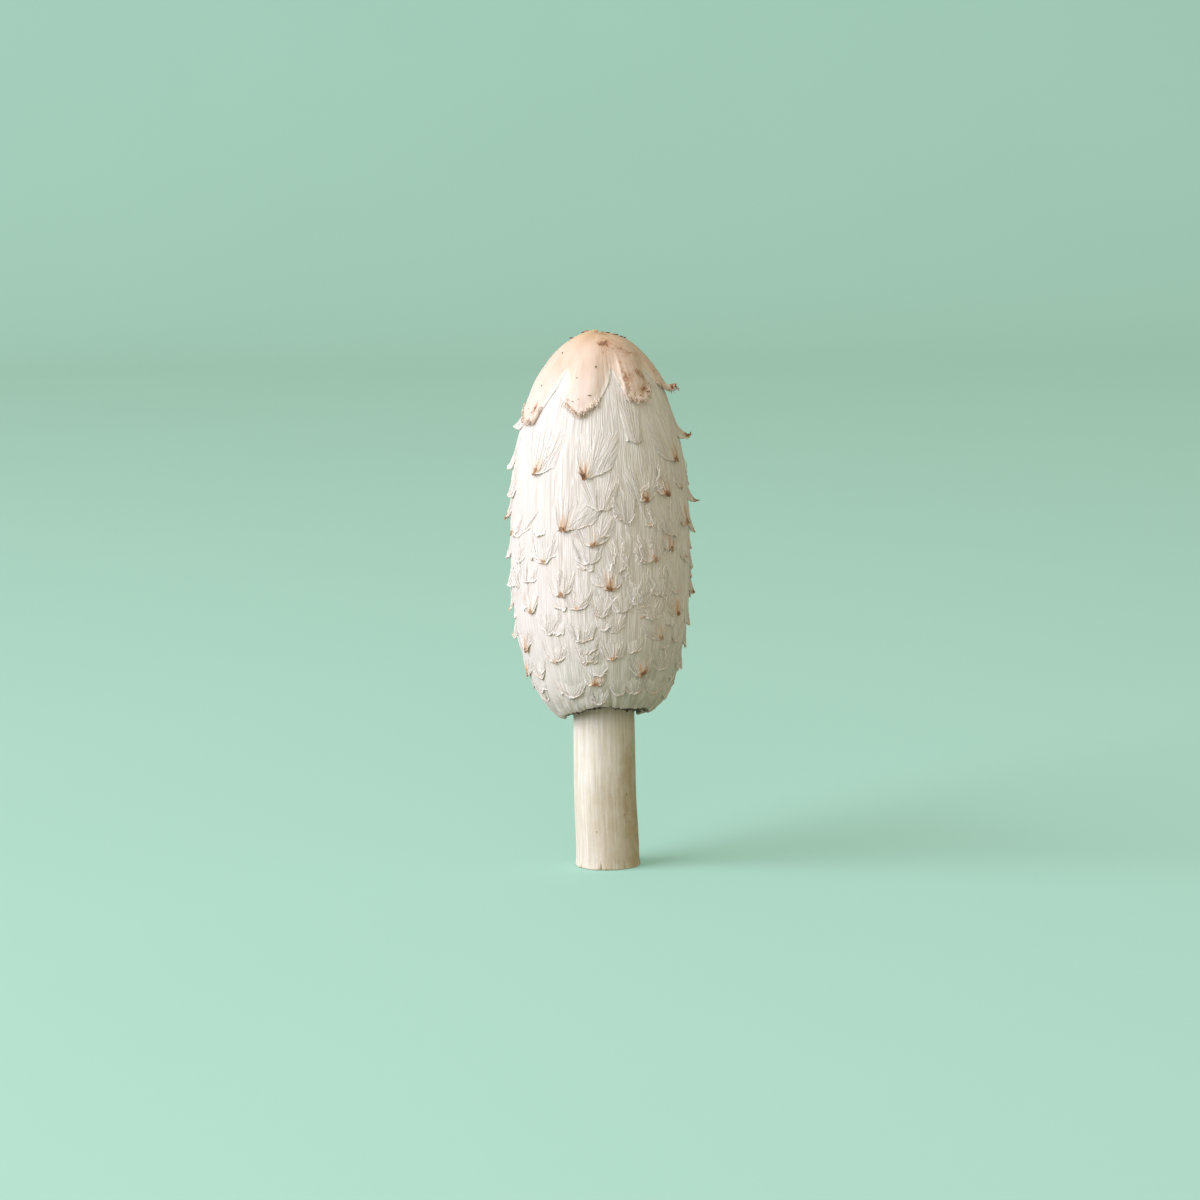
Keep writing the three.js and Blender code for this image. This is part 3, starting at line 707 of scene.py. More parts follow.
def ink_tone(azimuth, s_out, s_edge, v_in):
    """How inky the flesh is, outside and inside, as a negative tone."""
    patches = lerp(0.4, 1, smooth(ring_noise(azimuth, 4, 15, 3.5), -0.5, 0.2))
    patches = patches * (1 - 0.8 * near(azimuth - INK_GAP[0], INK_GAP[1]))
    pale = np.maximum(*(near(azimuth - place, spread) for place, spread in INK_PALE))
    lip = near(azimuth - INK_LIP[0], INK_LIP[1])
    reach = INK_REACH * patches * (1 - 0.3 * lip) + 0.05
    outside = near(s_out - s_edge + lip, reach) * (1 - 0.9 * pale)
    rim = smooth(v_in * s_edge, s_edge - 1.2, s_edge - 0.4)
    inside = lerp(0.3, 1, smooth(v_in, 0.94, 1)) * (1 - np.maximum(0.85 * pale, 0.9 * lip) * rim)
    return -np.concatenate([outside, inside])


def add_ink_crumbs(surface, s_edge):
    rng = np.random.default_rng(SEED + 2)
    for _ in range(INK_CRUMBS):
        azimuth = rng.uniform(-180, 180)
        if any(low < azimuth < high for low, high in CRUMB_FREE):
            continue
        column = round((azimuth + 180) / 360 * FLESH_COLUMNS) % FLESH_COLUMNS
        s = s_edge[0, column] - rng.uniform(-0.1, 0.7)
        size = (rng.uniform(0.2, 0.55), rng.uniform(0.12, 0.28), rng.uniform(0.12, 0.25))
        centre = on_cap(azimuth, s, rng.uniform(-0.2, 0.1))
        add_lump(surface, centre, size, -rng.uniform(0.5, 1), rows=4, columns=6)


def make_flesh(material):
    azimuth = np.linspace(-180, 180, FLESH_COLUMNS, endpoint=False)[None, :]
    ragged = 0.18 * ring_noise(azimuth, 9, 11) + 0.14 * ring_noise(azimuth, 30, 12)
    s_edge = s_at(dressed_margin_z(azimuth) + ragged)
    s_out = np.linspace(0, 1, FLESH_ROWS)[:, None] ** FLESH_CROWDING * s_edge
    crumpled = smooth(s_edge - s_out, *CRUMPLE_ZONE) * relief_layers(azimuth, s_out, CRUMPLE_LAYERS)
    relief = relief_layers(azimuth, s_out, FIBRE_LAYERS) + crumpled
    rolled = ROLLED_IN * near(s_out - s_edge, 0.5)
    v_in = np.linspace(1, 0, FLESH_INNER_ROWS)[:, None]
    outer = on_cap(azimuth, s_out, relief * smooth(s_out, 0, 6) - rolled)
    inner = on_cap(azimuth, v_in * s_edge, -flesh_depth(v_in))
    surface = Surface()
    surface.add(
        np.concatenate([outer, inner]),
        grid_faces(FLESH_ROWS + FLESH_INNER_ROWS, FLESH_COLUMNS, close_columns=True)[:, ::-1],
        around(FLOW_RADIUS, azimuth, np.concatenate([s_out, v_in * s_edge])),
        ink_tone(azimuth, s_out, s_edge, v_in),
    )
    add_ink_crumbs(surface, s_edge)
    surface.make("cap_flesh", "cap", material)


# Stray hairs: where they start, with more of them at the front right, and how they wander
HAIRS = 96
HAIR_Z = (56, 118)
FRONT_RIGHT_HAIRS = 50
FRONT_RIGHT_AZIMUTH = (5, 52)
FRONT_RIGHT_Z = (76, 112)
HAIR_POINTS = 12
HAIR_STEP = 0.75
HAIR_SIDE_STEP = 0.45
HAIR_TURN = 0.95
HAIR_WAVER = 0.45
HAIR_HEIGHT = 0.5
HAIR_HEIGHTS = (0.3, 0.75)
HAIR_RADIUS = (0.1, 0.19)


def add_hairs(surface, rng):
    """Stray hairs that wander down over the scales, more of them at the front right."""
    every = (HAIRS, HAIR_POINTS)
    azimuth = rng.uniform(-180, 180, HAIRS)
    azimuth[:FRONT_RIGHT_HAIRS] = rng.uniform(*FRONT_RIGHT_AZIMUTH, FRONT_RIGHT_HAIRS)
    z = rng.uniform(*HAIR_Z, HAIRS)
    z[:FRONT_RIGHT_HAIRS] = rng.uniform(*FRONT_RIGHT_Z, FRONT_RIGHT_HAIRS)
    heading = rng.normal(0, HAIR_WAVER, every) + HAIR_TURN * rng.choice([-1, 1], every)
    s = s_at(z)[:, None] + (HAIR_STEP * np.cos(heading)).cumsum(1)
    sideways = (HAIR_SIDE_STEP * np.sin(heading)).cumsum(1)
    height = HAIR_HEIGHT + rng.normal(0, 0.1, every).cumsum(1)
    azimuth = azimuth[:, None] + np.degrees(sideways / radius_at(s))
    paths = on_cap(azimuth, s, np.clip(height, *HAIR_HEIGHTS))
    add_strands(surface, paths, rng.uniform(*HAIR_RADIUS, (HAIRS, 1)), np.zeros(3), 0.0, 1.0)


SCALE_PIECES = {"scales_upper": (0, 1, 2), "scales_middle": (3, 4, 5), "scales_lower": (6, 7, 8)}
CURLED_FROM = 0.3


def make_scales(material):
    rng = np.random.default_rng(SEED)
    fibres = Surface()
    for name, tiers in SCALE_PIECES.items():
        surface = Surface()
        for scale in scale_list():
            if scale["tier"] not in tiers:
                continue
            add_scale(surface, scale)
            add_face_strands(fibres, scale, rng)
            add_side_strands(fibres, scale, rng)
            add_hem(fibres, scale, rng)
            if scale["brown"] >= CURLED_FROM:
                add_tip_curls(fibres, scale, rng)
        surface.make(name, "cap", material)
    small = Surface()
    for scale in small_scale_list():
        add_scale(small, scale, SMALL_SCALE_ROWS, SMALL_SCALE_COLUMNS)
        add_hem(small, scale, rng)
    small.make("scales_small", "cap", material)
    add_hairs(fibres, rng)
    fibres.make("loose_fibres", "cap", material)


# The crown's skin

SKIN_COLUMNS = 460
SKIN_ROWS = 80
SKIN_UNDERSIDE_ROWS = 20
SKIN_CROWDING = 0.85
SKIN_TOP = TOUCHING_GAP + SKIN
# A flap's low end: from where it counts as low above its lowest point, and where it is low all through
LOW_END = (5.5, 1.8)
FLARE_LENGTH = 3.2
FLARE_SLIDE = 0.3
# The torn edge: its raggedness, its woolly fringe, and the thinned sides of the flaps
RAGGED_SIDES = 0.3
FRINGE = 1.4
SIDE_REACH = 2.6
SIDE_THINNED = 0.95
END_THINNED = 0.6
END_REACH = 2.2
TORN_WHITE = 0.8
# Woolly lumps, with a depth, bumps in each radian, a seed and a bump's length, and long waves
LUMP_LAYERS = [(1, 22, 23, 0.9), (0.6, 50, 24, 0.4)]
WAVE_LAYERS = [(0.1, 5, 25, 5)]
PLEAT_LAYERS = [(0.06, 30, 27, 9)]
EDGE_SEARCH = 20


def flap_value(azimuth):
    """The torn edge's height at an azimuth, the flap's flare, and how much it is the flap's lower end."""
    corners = np.array([corner for _, _, edge in FLAPS for corner in edge], float)
    first = corners[0, 0]
    turned = (azimuth - first) % 360 + first
    z = np.interp(turned, np.append(corners[:, 0], first + 360), np.append(corners[:, 1], corners[0, 1]))
    starts = [edge[0][0] for _, _, edge in FLAPS] + [first + 360]
    k = np.clip(np.searchsorted(starts, turned, side="right") - 1, 0, len(FLAPS) - 1)
    lowest = np.array([min(z for _, z in edge) for _, _, edge in FLAPS])
    tips = np.array([
        np.mean([a for a, z in edge if z < low + 0.6]) for low, (_, _, edge) in zip(lowest, FLAPS)
    ])
    flares, spreads = (np.array([flap[part] for flap in FLAPS])[k] for part in (0, 1))
    return z, flares * near(turned - tips[k], spreads), smooth(z - lowest[k], *LOW_END)


def torn_s(azimuth):
    """Where the torn edge lies, with its ragged ends, and how much it is a flap's lower end."""
    z, flare, low = flap_value(azimuth)
    ragged = 0.55 * ring_noise(azimuth, 20, 21) + 0.5 * ring_noise(azimuth, 58, 22)
    return s_at(z) + ragged * lerp(RAGGED_SIDES, 1, low), flare, low


def flare_out(flare, down):
    """How far a flap stands out at a distance above its edge."""
    return flare * smooth(down, FLARE_LENGTH, 0.0) ** 1.6


def edge_distance(s, s_edge):
    """Distance over the skin from each point to the torn edge."""
    best = np.full(s.shape, np.inf)
    step = 2 * np.pi / SKIN_COLUMNS
    for shift in range(-EDGE_SEARCH, EDGE_SEARCH + 1):
        other = np.roll(s_edge, -shift)[None, :]
        sideways = abs(shift) * step * radius_at(s)
        best = np.minimum(best, np.hypot(sideways, np.maximum(other - s, 0)))
    return best


def make_crown(material):
    azimuth = np.linspace(-180, 180, SKIN_COLUMNS, endpoint=False)
    s_edge, flare, low = (values[None, :] for values in torn_s(azimuth))
    s = np.linspace(0, 1, SKIN_ROWS)[:, None] ** SKIN_CROWDING * s_edge
    from_edge = edge_distance(s, s_edge[0])
    out = flare_out(flare, s_edge - s)
    fringe = near(from_edge, FRINGE) * low
    side = near(from_edge, SIDE_REACH) * (1 - low)
    lumps = relief_layers(azimuth, s, LUMP_LAYERS)
    waves = relief_layers(azimuth, s, WAVE_LAYERS) * smooth(s, 0, 8)
    pleats = relief_layers(azimuth, s, PLEAT_LAYERS) * smooth(from_edge, 9, 1) * smooth(s, 4, 14)
    thinned = SIDE_THINNED * side + END_THINNED * near(from_edge, END_REACH) * low
    top = SKIN_TOP - thinned + out + waves + pleats + (0.15 + 0.4 * lumps) * fringe
    bottom = TOUCHING_GAP - 0.5 * side - 0.2 * fringe + out
    upper, lower = (on_cap(azimuth, s - FLARE_SLIDE * out, height) for height in (top, bottom))
    tone = stains(azimuth[None, :], s) + near(from_edge - 1.9, 1.4) * low * (0.07 + 0.12 * lumps)
    torn = near(from_edge, 1.0) * (1 - low) * smooth(s, 14, 18)
    tone = tone + 0.5 * smooth(out, 0.9, 2.2) - TORN_WHITE * torn
    edge = np.maximum(fringe, 0.5 * near(from_edge, 0.8) * (1 - low))
    flow = around(FLOW_RADIUS, azimuth, s)
    under = np.linspace(0, SKIN_ROWS - 1, SKIN_UNDERSIDE_ROWS).round().astype(int)[::-1]
    surface = Surface()
    surface.add(
        np.concatenate([upper, lower[under]]),
        grid_faces(SKIN_ROWS + SKIN_UNDERSIDE_ROWS, SKIN_COLUMNS, close_columns=True)[:, ::-1],
        *(np.concatenate([value, value[under]]) for value in (flow, tone, edge)),
    )
    surface.make("crown", "crown_skin", material)


# Brown marks on the crown: azimuth, height, size and strength
STAINS = [
    (33, 144.1, 0.9, 0.5), (11, 141.6, 1.1, 0.55), (11, 140.2, 1.7, 0.14), (82, 140.2, 1.2, 0.25),
    (40, 139.1, 0.8, 0.22), (60, 138.7, 1.1, 0.22), (28, 133.4, 1.3, 0.3), (41, 134.8, 1.0, 0.42),
    (47, 133.1, 0.9, 0.42), (44, 130.6, 0.9, 0.5), (26, 131.2, 1.0, 0.22), (36, 134.0, 3.6, 0.07),
    (75, 134.0, 4.5, 0.1), (39, 130.0, 0.7, 0.25), (-59, 125.7, 1.0, 0.42), (60, 139.0, 3.5, 0.06),
    (38, 140.2, 2.6, 0.14), (22, 141.0, 3.0, 0.06), (-8, 141.5, 3.2, 0.04),
    (120, 143.4, 1.3, 0.5), (150, 139.0, 1.7, 0.22), (200, 136.0, 1.4, 0.2), (120, 131.0, 1.6, 0.2),
    (235, 133.0, 1.7, 0.2), (176, 126.0, 1.4, 0.3),
]
# Dark crumbs that stand up on the very top: azimuth, s, half width and height
CRUMBS = [
    (-97, 6.4, 1.0, 0.22), (-108, 2.7, 0.8, 0.42), (-100, 3.5, 0.6, 0.3), (132, 1.3, 0.6, 0.2),
    (112, 2.3, 0.9, 0.26), (98, 3.3, 0.9, 0.24), (106, 4.4, 0.9, 0.3), (98, 5.5, 0.8, 0.22),
    (103, 6.5, 0.8, 0.26),
]
# Small dark dashes along the inner side of the flaps' fringes: azimuth, height and half length
DASHES = [
    (-26, 128.2, 0.25), (-22, 127.9, 0.2), (-17, 128.5, 0.3), (-8, 129.4, 0.65), (1, 128.6, 0.18),
    (45, 129.6, 0.6), (36, 128.9, 0.25), (-68, 125.2, 0.5), (-62, 124.5, 0.2), (84, 129.5, 0.6),
    (97, 129.3, 0.25), (131, 125.6, 0.4), (178, 124.6, 0.5), (190, 123.2, 0.25), (228, 127.4, 0.4),
]
# Specks on the crown: azimuth, height and radius
SPECKS = [
    (-78, 141.7, 0.24), (-58, 139.1, 0.3), (-80, 139.4, 0.2), (-60, 131.1, 0.28), (-3, 136.2, 0.26),
    (-21, 133.5, 0.18), (-30, 143.0, 0.18), (-70, 135.5, 0.16), (78, 137.5, 0.22), (70, 133.5, 0.2),
]
RANDOM_SPECKS = 34
SPECK_TONE = 0.9
# The woolly fringe: its threads and lumps, and how far they sink into the skin
FRINGE_STRANDS = 900
FRINGE_POINTS = 6
FRINGE_LUMPS = 220
FRINGE_SUNK = 0.45


def stains(azimuth, s):
    tone = 0 * (azimuth + s)
    for place, z, size, strength in STAINS:
        sideways = np.radians(apart(azimuth, place)) * radius_at(s)
        distance = np.hypot(sideways, (s - s_at(z)) * 0.8)
        wobble = 1 + 0.7 * noise_at(sideways / 0.9, (s + 0 * azimuth) / 0.9, place / 10, 26)
        tone = tone + strength * near(distance * wobble, size)
    return tone


def add_specks(surface, rng):
    """The specks, the dashes by the fringe and the crumbs on the top."""
    specks = list(SPECKS)
    for _ in range(RANDOM_SPECKS):
        z = rng.uniform(128, 143)
        specks.append((rng.uniform(70, 270), z, rng.uniform(0.1, 0.24)))
    for azimuth, z, radius in specks:
        s_edge = torn_s(np.array([azimuth]))[0][0]
        if s_at(z) < s_edge - 1:
            size = (radius, radius * 1.1, 0.08)
            add_lump(surface, on_cap(azimuth, s_at(z), SKIN_TOP), size, SPECK_TONE)
    for azimuth, z, length in DASHES:
        s_edge, flare, _ = (value[0] for value in torn_s(np.array([azimuth])))
        out = flare_out(flare, s_edge - s_at(z)) - 0.1
        add_lump(surface, on_cap(azimuth, s_at(z), SKIN_TOP + out), (length, 0.13, 0.2), SPECK_TONE)
    for azimuth, s, width, height in CRUMBS:
        add_lump(surface, on_cap(azimuth, s, SKIN_TOP), (0.5, height, width), 0.85)


def fringe_places(rng, draws, least_low, most):
    """Azimuths drawn where the torn edge is low, and the edge's s and flare there, as columns."""
    azimuth = rng.uniform(-180, 180, draws)
    s_edge, flare, low = torn_s(azimuth)
    keep = np.flatnonzero(low > rng.uniform(least_low, 1, draws))[:most]
    return (value[keep, None] for value in (azimuth, s_edge, flare))


def add_fringe_strands(surface, rng):
    azimuth, s_edge, flare = fringe_places(rng, 3 * FRINGE_STRANDS, 0.1, FRINGE_STRANDS)
    each, every = azimuth.shape, (len(azimuth), FRINGE_POINTS)
    steps = np.linspace(0, 1, FRINGE_POINTS)
    reach = rng.uniform(0.3, 1.4, each)
    s = s_edge - rng.uniform(0.2, 1.6, each) + steps * reach
    curl = rng.normal(0, 0.22, every).cumsum(1)
    height = SKIN_TOP - FRINGE_SUNK + flare_out(flare, s_edge - s)
    height = height + rng.uniform(-0.2, 0.4, each) + rng.normal(0, 0.1, every).cumsum(1)
    height = height - 0.4 * steps**2 * (rng.random(each) > 0.3)
    paths = on_cap(azimuth + np.degrees(curl / radius_at(s)), s, height)
    tones = np.where(rng.random(each) < 0.12, 0.9, 0.12 * rng.random(each))
    add_strands(surface, paths, rng.uniform(0.04, 0.08, each), np.zeros(3), tones, 1.0)


def add_fringe_lumps(surface, rng):
    places = fringe_places(rng, 4 * FRINGE_LUMPS, 0.2, FRINGE_LUMPS)
    for azimuth, s_edge, flare in zip(*(column[:, 0] for column in places)):
        s = s_edge - rng.uniform(-0.1, 1.1)
        height = SKIN_TOP - FRINGE_SUNK + flare_out(flare, s_edge - s) + rng.uniform(0, 0.35)
        size = rng.uniform(0.1, 0.28, 3)
        add_lump(surface, on_cap(azimuth, s, height), size, 0.05 + 0.5 * rng.random() ** 3, 1.0)


def make_crown_marks(material):
    """The specks and the woolly fringe at the flaps' lower ends."""
    rng = np.random.default_rng(SEED + 1)
    surface = Surface()
    add_specks(surface, rng)
    add_fringe_strands(surface, rng)
    add_fringe_lumps(surface, rng)
    surface.make("crown_marks", "crown_skin", material)


# The gills

GILLS = 96
GILL_THICKNESS = 0.3
GILL_ROWS = 20
GILL_COLUMNS = 6
GILL_RAISED = 1.5
GILL_INK_HEIGHT = 7


def make_gills(material):
    surface = Surface()
    across = np.linspace(0, 1, GILL_COLUMNS)
    faces = grid_faces(GILL_ROWS, 2 * GILL_COLUMNS, close_columns=True)
    for n in range(GILLS):
        azimuth = 360 * n / GILLS
        foot = GILL_FOOT_Z + GILL_FOOT_FOLLOW * (margin_z(azimuth) - MARGIN_Z)
        low = foot + GILL_RAISED + 0.4 * chance(n)
        s = lerp(s_at(low), s_at(GILL_TOP_Z), np.linspace(0, 1, GILL_ROWS))
        depth = flesh_depth(s / s_at(margin_z(azimuth))) + GILL_FLESH_GAP
        outside = on_cap(0, s, -depth)
        r_out, z = -outside[:, 1:2], outside[:, 2:]
        r = lerp(r_out, stem_radius(z) + GILL_STEM_GAP, across)
        height = z + 0 * across
        wave = 0.5 * noise_at(r / 3, height / 8, n, 31) * np.sin(np.pi * across)
        sheets = [
            around(r, azimuth + np.degrees((wave + side * GILL_THICKNESS / 2) / r), height)
            for side in (-1, 1)
        ]
        tone = smooth(low + GILL_INK_HEIGHT - height, 0, GILL_INK_HEIGHT) ** 2
        flow = np.stack(np.broadcast_arrays(r, n, height), -1)
        pairs = (sheets, (flow, flow), (tone, tone))
        points, flow, tone = (np.concatenate([there, back[:, ::-1]], 1) for there, back in pairs)
        surface.add(points, faces, flow, tone)
    surface.make("gill_plates", "gills", material)


# The stem

STEM_COLUMNS = 240
STEM_ROWS = 120
STEM_CROWDING = 1.35
CUT_ROWS = 12
HOLLOW_ROWS = 20
# The foot stands a little to the right, below these heights
FOOT_SHIFT = 0.45
FOOT_SHIFT_Z = (22, 4)
RIB_LAYERS = [(0.03, 11, 41, 18), (0.02, 30, 42, 9), (0.22, 1.6, 43, 16)]
# The rim of the cut: how far it flares, and its teeth
FLARE_AT_CUT = 0.16
TEETH = 0.22
# Splits up from the cut: azimuth and height, and their common depth and width
CUT_SPLITS = [
    (-12, 2.6), (34, 3.2), (75, 2.0), (-58, 1.8), (120, 2.8), (165, 2.2), (205, 3.0), (250, 2.0),
]
SPLIT_DEPTH = 0.7
SPLIT_WIDTH = 2.2
# Dark specks on the stem: azimuth, height and radius
STEM_SPECKS = [
    (43, 20.5, 0.2), (37, 15.0, 0.15), (41, 12.8, 0.16), (33, 12.2, 0.13), (-17, 10.6, 0.13),
    (140, 25, 0.2),
]
STEM_SPECK_TONE = 2.5
STEM_FLOW_RADIUS = 8.5


def stem_side(azimuth):
    """Radius and height of the stem's outer side, row by row, from the cut to the top."""
    z = STEM_TOP_Z * np.linspace(0, 1, STEM_ROWS)[:, None] ** STEM_CROWDING
    ribs = relief_layers(azimuth, z, RIB_LAYERS) * smooth(z, 0, 0.5)
    flare = FLARE_AT_CUT * near(z, 1.2) * (1 + ring_noise(azimuth, 24, 44))
    split = 0
    for place, tall in CUT_SPLITS:
        width = SPLIT_WIDTH * (1 - np.clip(z / tall, 0, 1)) + 0.05
        split = split + near(apart(azimuth, place), width) * (1 - smooth(z, 0, tall))
    teeth = TEETH * (1 + ring_noise(azimuth, 40, 45)) * near(z, 0.6)
    return stem_radius(z) + ribs + flare - SPLIT_DEPTH * split, z + teeth


def stem_brown_and_shade(azimuth, z):
    """How brown the stem is: in patches low down, in one patch at the front right, and on the right, where
    the browning is painted shade away from the key lamp.
    """
    a = np.radians(azimuth)
    patches = smooth(noise_at(1.1 * np.sin(a) + 4, 1.1 * np.cos(a), z / 18, 48), -0.2, 0.9)
    tone = patches * smooth(z, 44, 22) * 0.45 + 0.35 * near(azimuth - 26, 30) * near(z - 19, 10)
    # painted shade: the right side, away from the key lamp, is made browner, most of all low down
    return tone + smooth(np.sin(a), 0.25, 0.95) * lerp(0.6, 1.2, smooth(z, 44, 24))


def make_stem(material):
    azimuth = np.linspace(-180, 180, STEM_COLUMNS, endpoint=False)[None, :]
    r, z = stem_side(azimuth)
    cut_r = lerp(HOLLOW_RADIUS, r[:1], (np.linspace(0.97, 0.27, CUT_ROWS)[:, None] - 0.25) / 0.75)
    cut_z = 0.12 + 0.1 * ring_noise(azimuth, cut_r, 46)
    hollow_z = np.linspace(0.4, HOLLOW_TOP_Z, HOLLOW_ROWS)[:, None]
    bore = lerp(HOLLOW_RADIUS, HOLLOW_RADIUS * HOLLOW_TAPER, hollow_z / HOLLOW_TOP_Z)
    bore = bore + 0.1 * ring_noise(azimuth, 3, 47, hollow_z / 4)
    points = np.concatenate([
        around(0.01, azimuth, STEM_TOP_Z),
        around(r, azimuth, z)[::-1],
        around(cut_r, azimuth, cut_z),
        around(bore, azimuth, hollow_z),
        around(0.01, azimuth, HOLLOW_TOP_Z),
    ])
    z = points[..., 2]
    points[..., 0] += FOOT_SHIFT * smooth(z, *FOOT_SHIFT_Z)
    edge = near(z, 0.5)
    edge[1 + STEM_ROWS : 1 + STEM_ROWS + CUT_ROWS] = 1
    faces = grid_faces(len(points), STEM_COLUMNS, close_columns=True)[:, ::-1]
    surface = Surface()
    surface.add(points, faces, around(STEM_FLOW_RADIUS, azimuth, z), stem_brown_and_shade(azimuth, z), edge)
    for place, height, radius in STEM_SPECKS:
        centre = around(stem_radius(height) + 0.02, place, height)
        add_lump(surface, centre, (radius, 1.2 * radius, 0.12), STEM_SPECK_TONE, rows=4, columns=6)
    surface.make("stipe", "stem", material)


# Materials. Lengths here are in metres, and colours are linear.

# The cap's fibres: in the hollows (partly painted shade) and on the ridges, in clouds, in thin raised lines
# (partly a painted highlight), painted shade on the lit side, at the glassy foot (partly painted shade on
# the right) and its lines, and at the scales' edges (partly a painted highlight)
FIBRE_AND_HOLLOW_SHADE_COLORS = ((0.66, 0.622, 0.58), (0.86, 0.835, 0.8))
CLOUD_COLOR = (0.75, 0.68, 0.61)
LINE_COLOR = (0.92, 0.9, 0.875)
LIT_SIDE_PAINTED_SHADE = (0.7, 0.655, 0.625)
# The glassy foot's grey-green, which also stands in for painted shade on the right
GLASSY_FOOT_AND_SHADE_COLORS = ((0.47, 0.505, 0.425), (0.68, 0.69, 0.63))
GLASSY_LINE_COLOR = (0.84, 0.84, 0.8)
EDGE_AND_HIGHLIGHT_COLORS = ((0.98, 0.965, 0.93), (0.95, 0.86, 0.77))
INK_COLOR = (0.06, 0.038, 0.018)
TIP_STOPS = [
    (0.0, (0.9, 0.78, 0.66)),
    (0.18, (0.74, 0.53, 0.37)),
    (0.36, (0.5, 0.28, 0.145)),
    (0.6, (0.22, 0.11, 0.052)),
    (0.95, (0.06, 0.036, 0.023)),
]
# The crown's skin: high and low, at the top, in clouds, in fibres, on the fringe and torn, and its
# stains from pale to dark
SKIN_COLORS = ((0.73, 0.575, 0.465), (0.77, 0.64, 0.56))
SKIN_TOP_COLOR = (0.68, 0.44, 0.24)
SKIN_CLOUD_COLOR = (0.62, 0.43, 0.29)
SKIN_FIBRE_COLOR = (0.8, 0.7, 0.63)
FRINGE_COLOR = (0.85, 0.72, 0.61)
TORN_COLOR = (0.8, 0.735, 0.67)
STAIN_COLORS = ((0.52, 0.27, 0.14), (0.1, 0.045, 0.022))
# The stem: in its grooves (partly painted shade) and on its ribs, in grains, in clouds, where it browns
# and where painted shade darkens its right side, at its specks and on the cut
STEM_AND_GROOVE_SHADE_COLORS = ((0.665, 0.62, 0.52), (0.81, 0.785, 0.715))
STEM_GRAIN_COLOR = (0.64, 0.56, 0.44)
STEM_CLOUD_COLOR = (0.65, 0.58, 0.46)
STEM_BROWN_AND_SHADE_COLOR = (0.45, 0.345, 0.2)
STEM_SPECK_COLOR = (0.16, 0.09, 0.045)
CUT_COLOR = (0.7, 0.55, 0.37)
# The gills, and their ink
GILL_COLORS = ((0.34, 0.26, 0.23), (0.5, 0.41, 0.37))
GILL_INK_COLOR = (0.022, 0.016, 0.012)
# The stage
MINT = (0.3, 0.485, 0.415)
MINT_SHADE = 0.985
MINT_GLOW = (0.1, 0.2, 0.17)

# A mix node's two colours and its result among its sockets
MIX_A, MIX_B, MIX_RESULT = 6, 7, 2


class Nodes:
    """A short way to write a node tree."""

    def __init__(self, owner):
        owner.use_nodes = True
        self.tree = owner.node_tree

    def link(self, value, socket):
        if isinstance(value, bpy.types.NodeSocket):
            self.tree.links.new(value, socket)
        else:
            socket.default_value = (*value, 1) if socket.type == "RGBA" else value

    def add(self, kind, inputs, output=0, **settings):
        """A new node with its settings and inputs, and one of its outputs."""
        node = self.tree.nodes.new("ShaderNode" + kind)
        for name, value in settings.items():
            setattr(node, name, value)
        for name, value in inputs.items():
            self.link(value, node.inputs[name])
        return node.outputs[output]

    def values(self, *names):
        """The mesh's own values. The flow is a vector, and the others are numbers."""
        kinds = {"flow": "Vector"}
        return [self.add("Attribute", {}, kinds.get(name, "Fac"), attribute_name=name) for name in names]

    def place(self, kind="Object"):
        return self.add("TexCoord", {}, kind)

    def noise(self, vector, stretch, detail=3.0, roughness=0.5, distortion=0.0):
        """Noise along a vector that is stretched first."""
        stretched = self.add("VectorMath", {0: vector, 1: stretch}, operation="MULTIPLY")
        inputs = dict(Vector=stretched, Scale=1.0, Detail=detail, Roughness=roughness, Distortion=distortion)
        return self.add("TexNoise", inputs, "Fac")

    def part(self, vector, axis):
        return self.add("SeparateXYZ", {"Vector": vector}, axis)

    def math(self, operation, *values):
        return self.add("Math", dict(enumerate(values)), operation=operation)

    def times(self, a, b):
        return self.math("MULTIPLY", a, b)

    def ranged(self, value, low, high, to_low=0.0, to_high=1.0):
        """A value eased from one range into another."""
        inputs = {"Value": value, "From Min": low, "From Max": high, "To Min": to_low, "To Max": to_high}
        return self.add("MapRange", inputs, "Result", interpolation_type="SMOOTHSTEP")

    def mix(self, share, a, b):
        return self.add("Mix", {"Factor": share, MIX_A: a, MIX_B: b}, MIX_RESULT, data_type="RGBA")

    def layered(self, color, layers):
        """A colour with others laid over it, each by its share."""
        for share, other in layers:
            color = self.mix(share, color, other)
        return color

    def ramp(self, value, stops):
        output = self.add("ValToRGB", {"Fac": value}, "Color")
        elements = output.node.color_ramp.elements
        while len(elements) < len(stops):
            elements.new(0.5)
        for element, (place, color) in zip(elements, stops):
            element.position = place
            element.color = (*color, 1)
        return output

    def bump(self, height, distance, strength, **under):
        inputs = {"Height": height, "Distance": distance, "Strength": strength, **under}
        return self.add("Bump", inputs, "Normal")

    def finish(self, node, **inputs):
        """Sets the inputs of one of the tree's own nodes, which are given by name."""
        for name, value in inputs.items():
            self.link(value, self.tree.nodes[node].inputs[name.replace("_", " ")])


def make_material(name, look):
    """A material whose shader's inputs come from a look, a function of its nodes."""
    material = bpy.data.materials.new(name)
    n = Nodes(material)
    n.finish("Principled BSDF", **look(n))
    return material


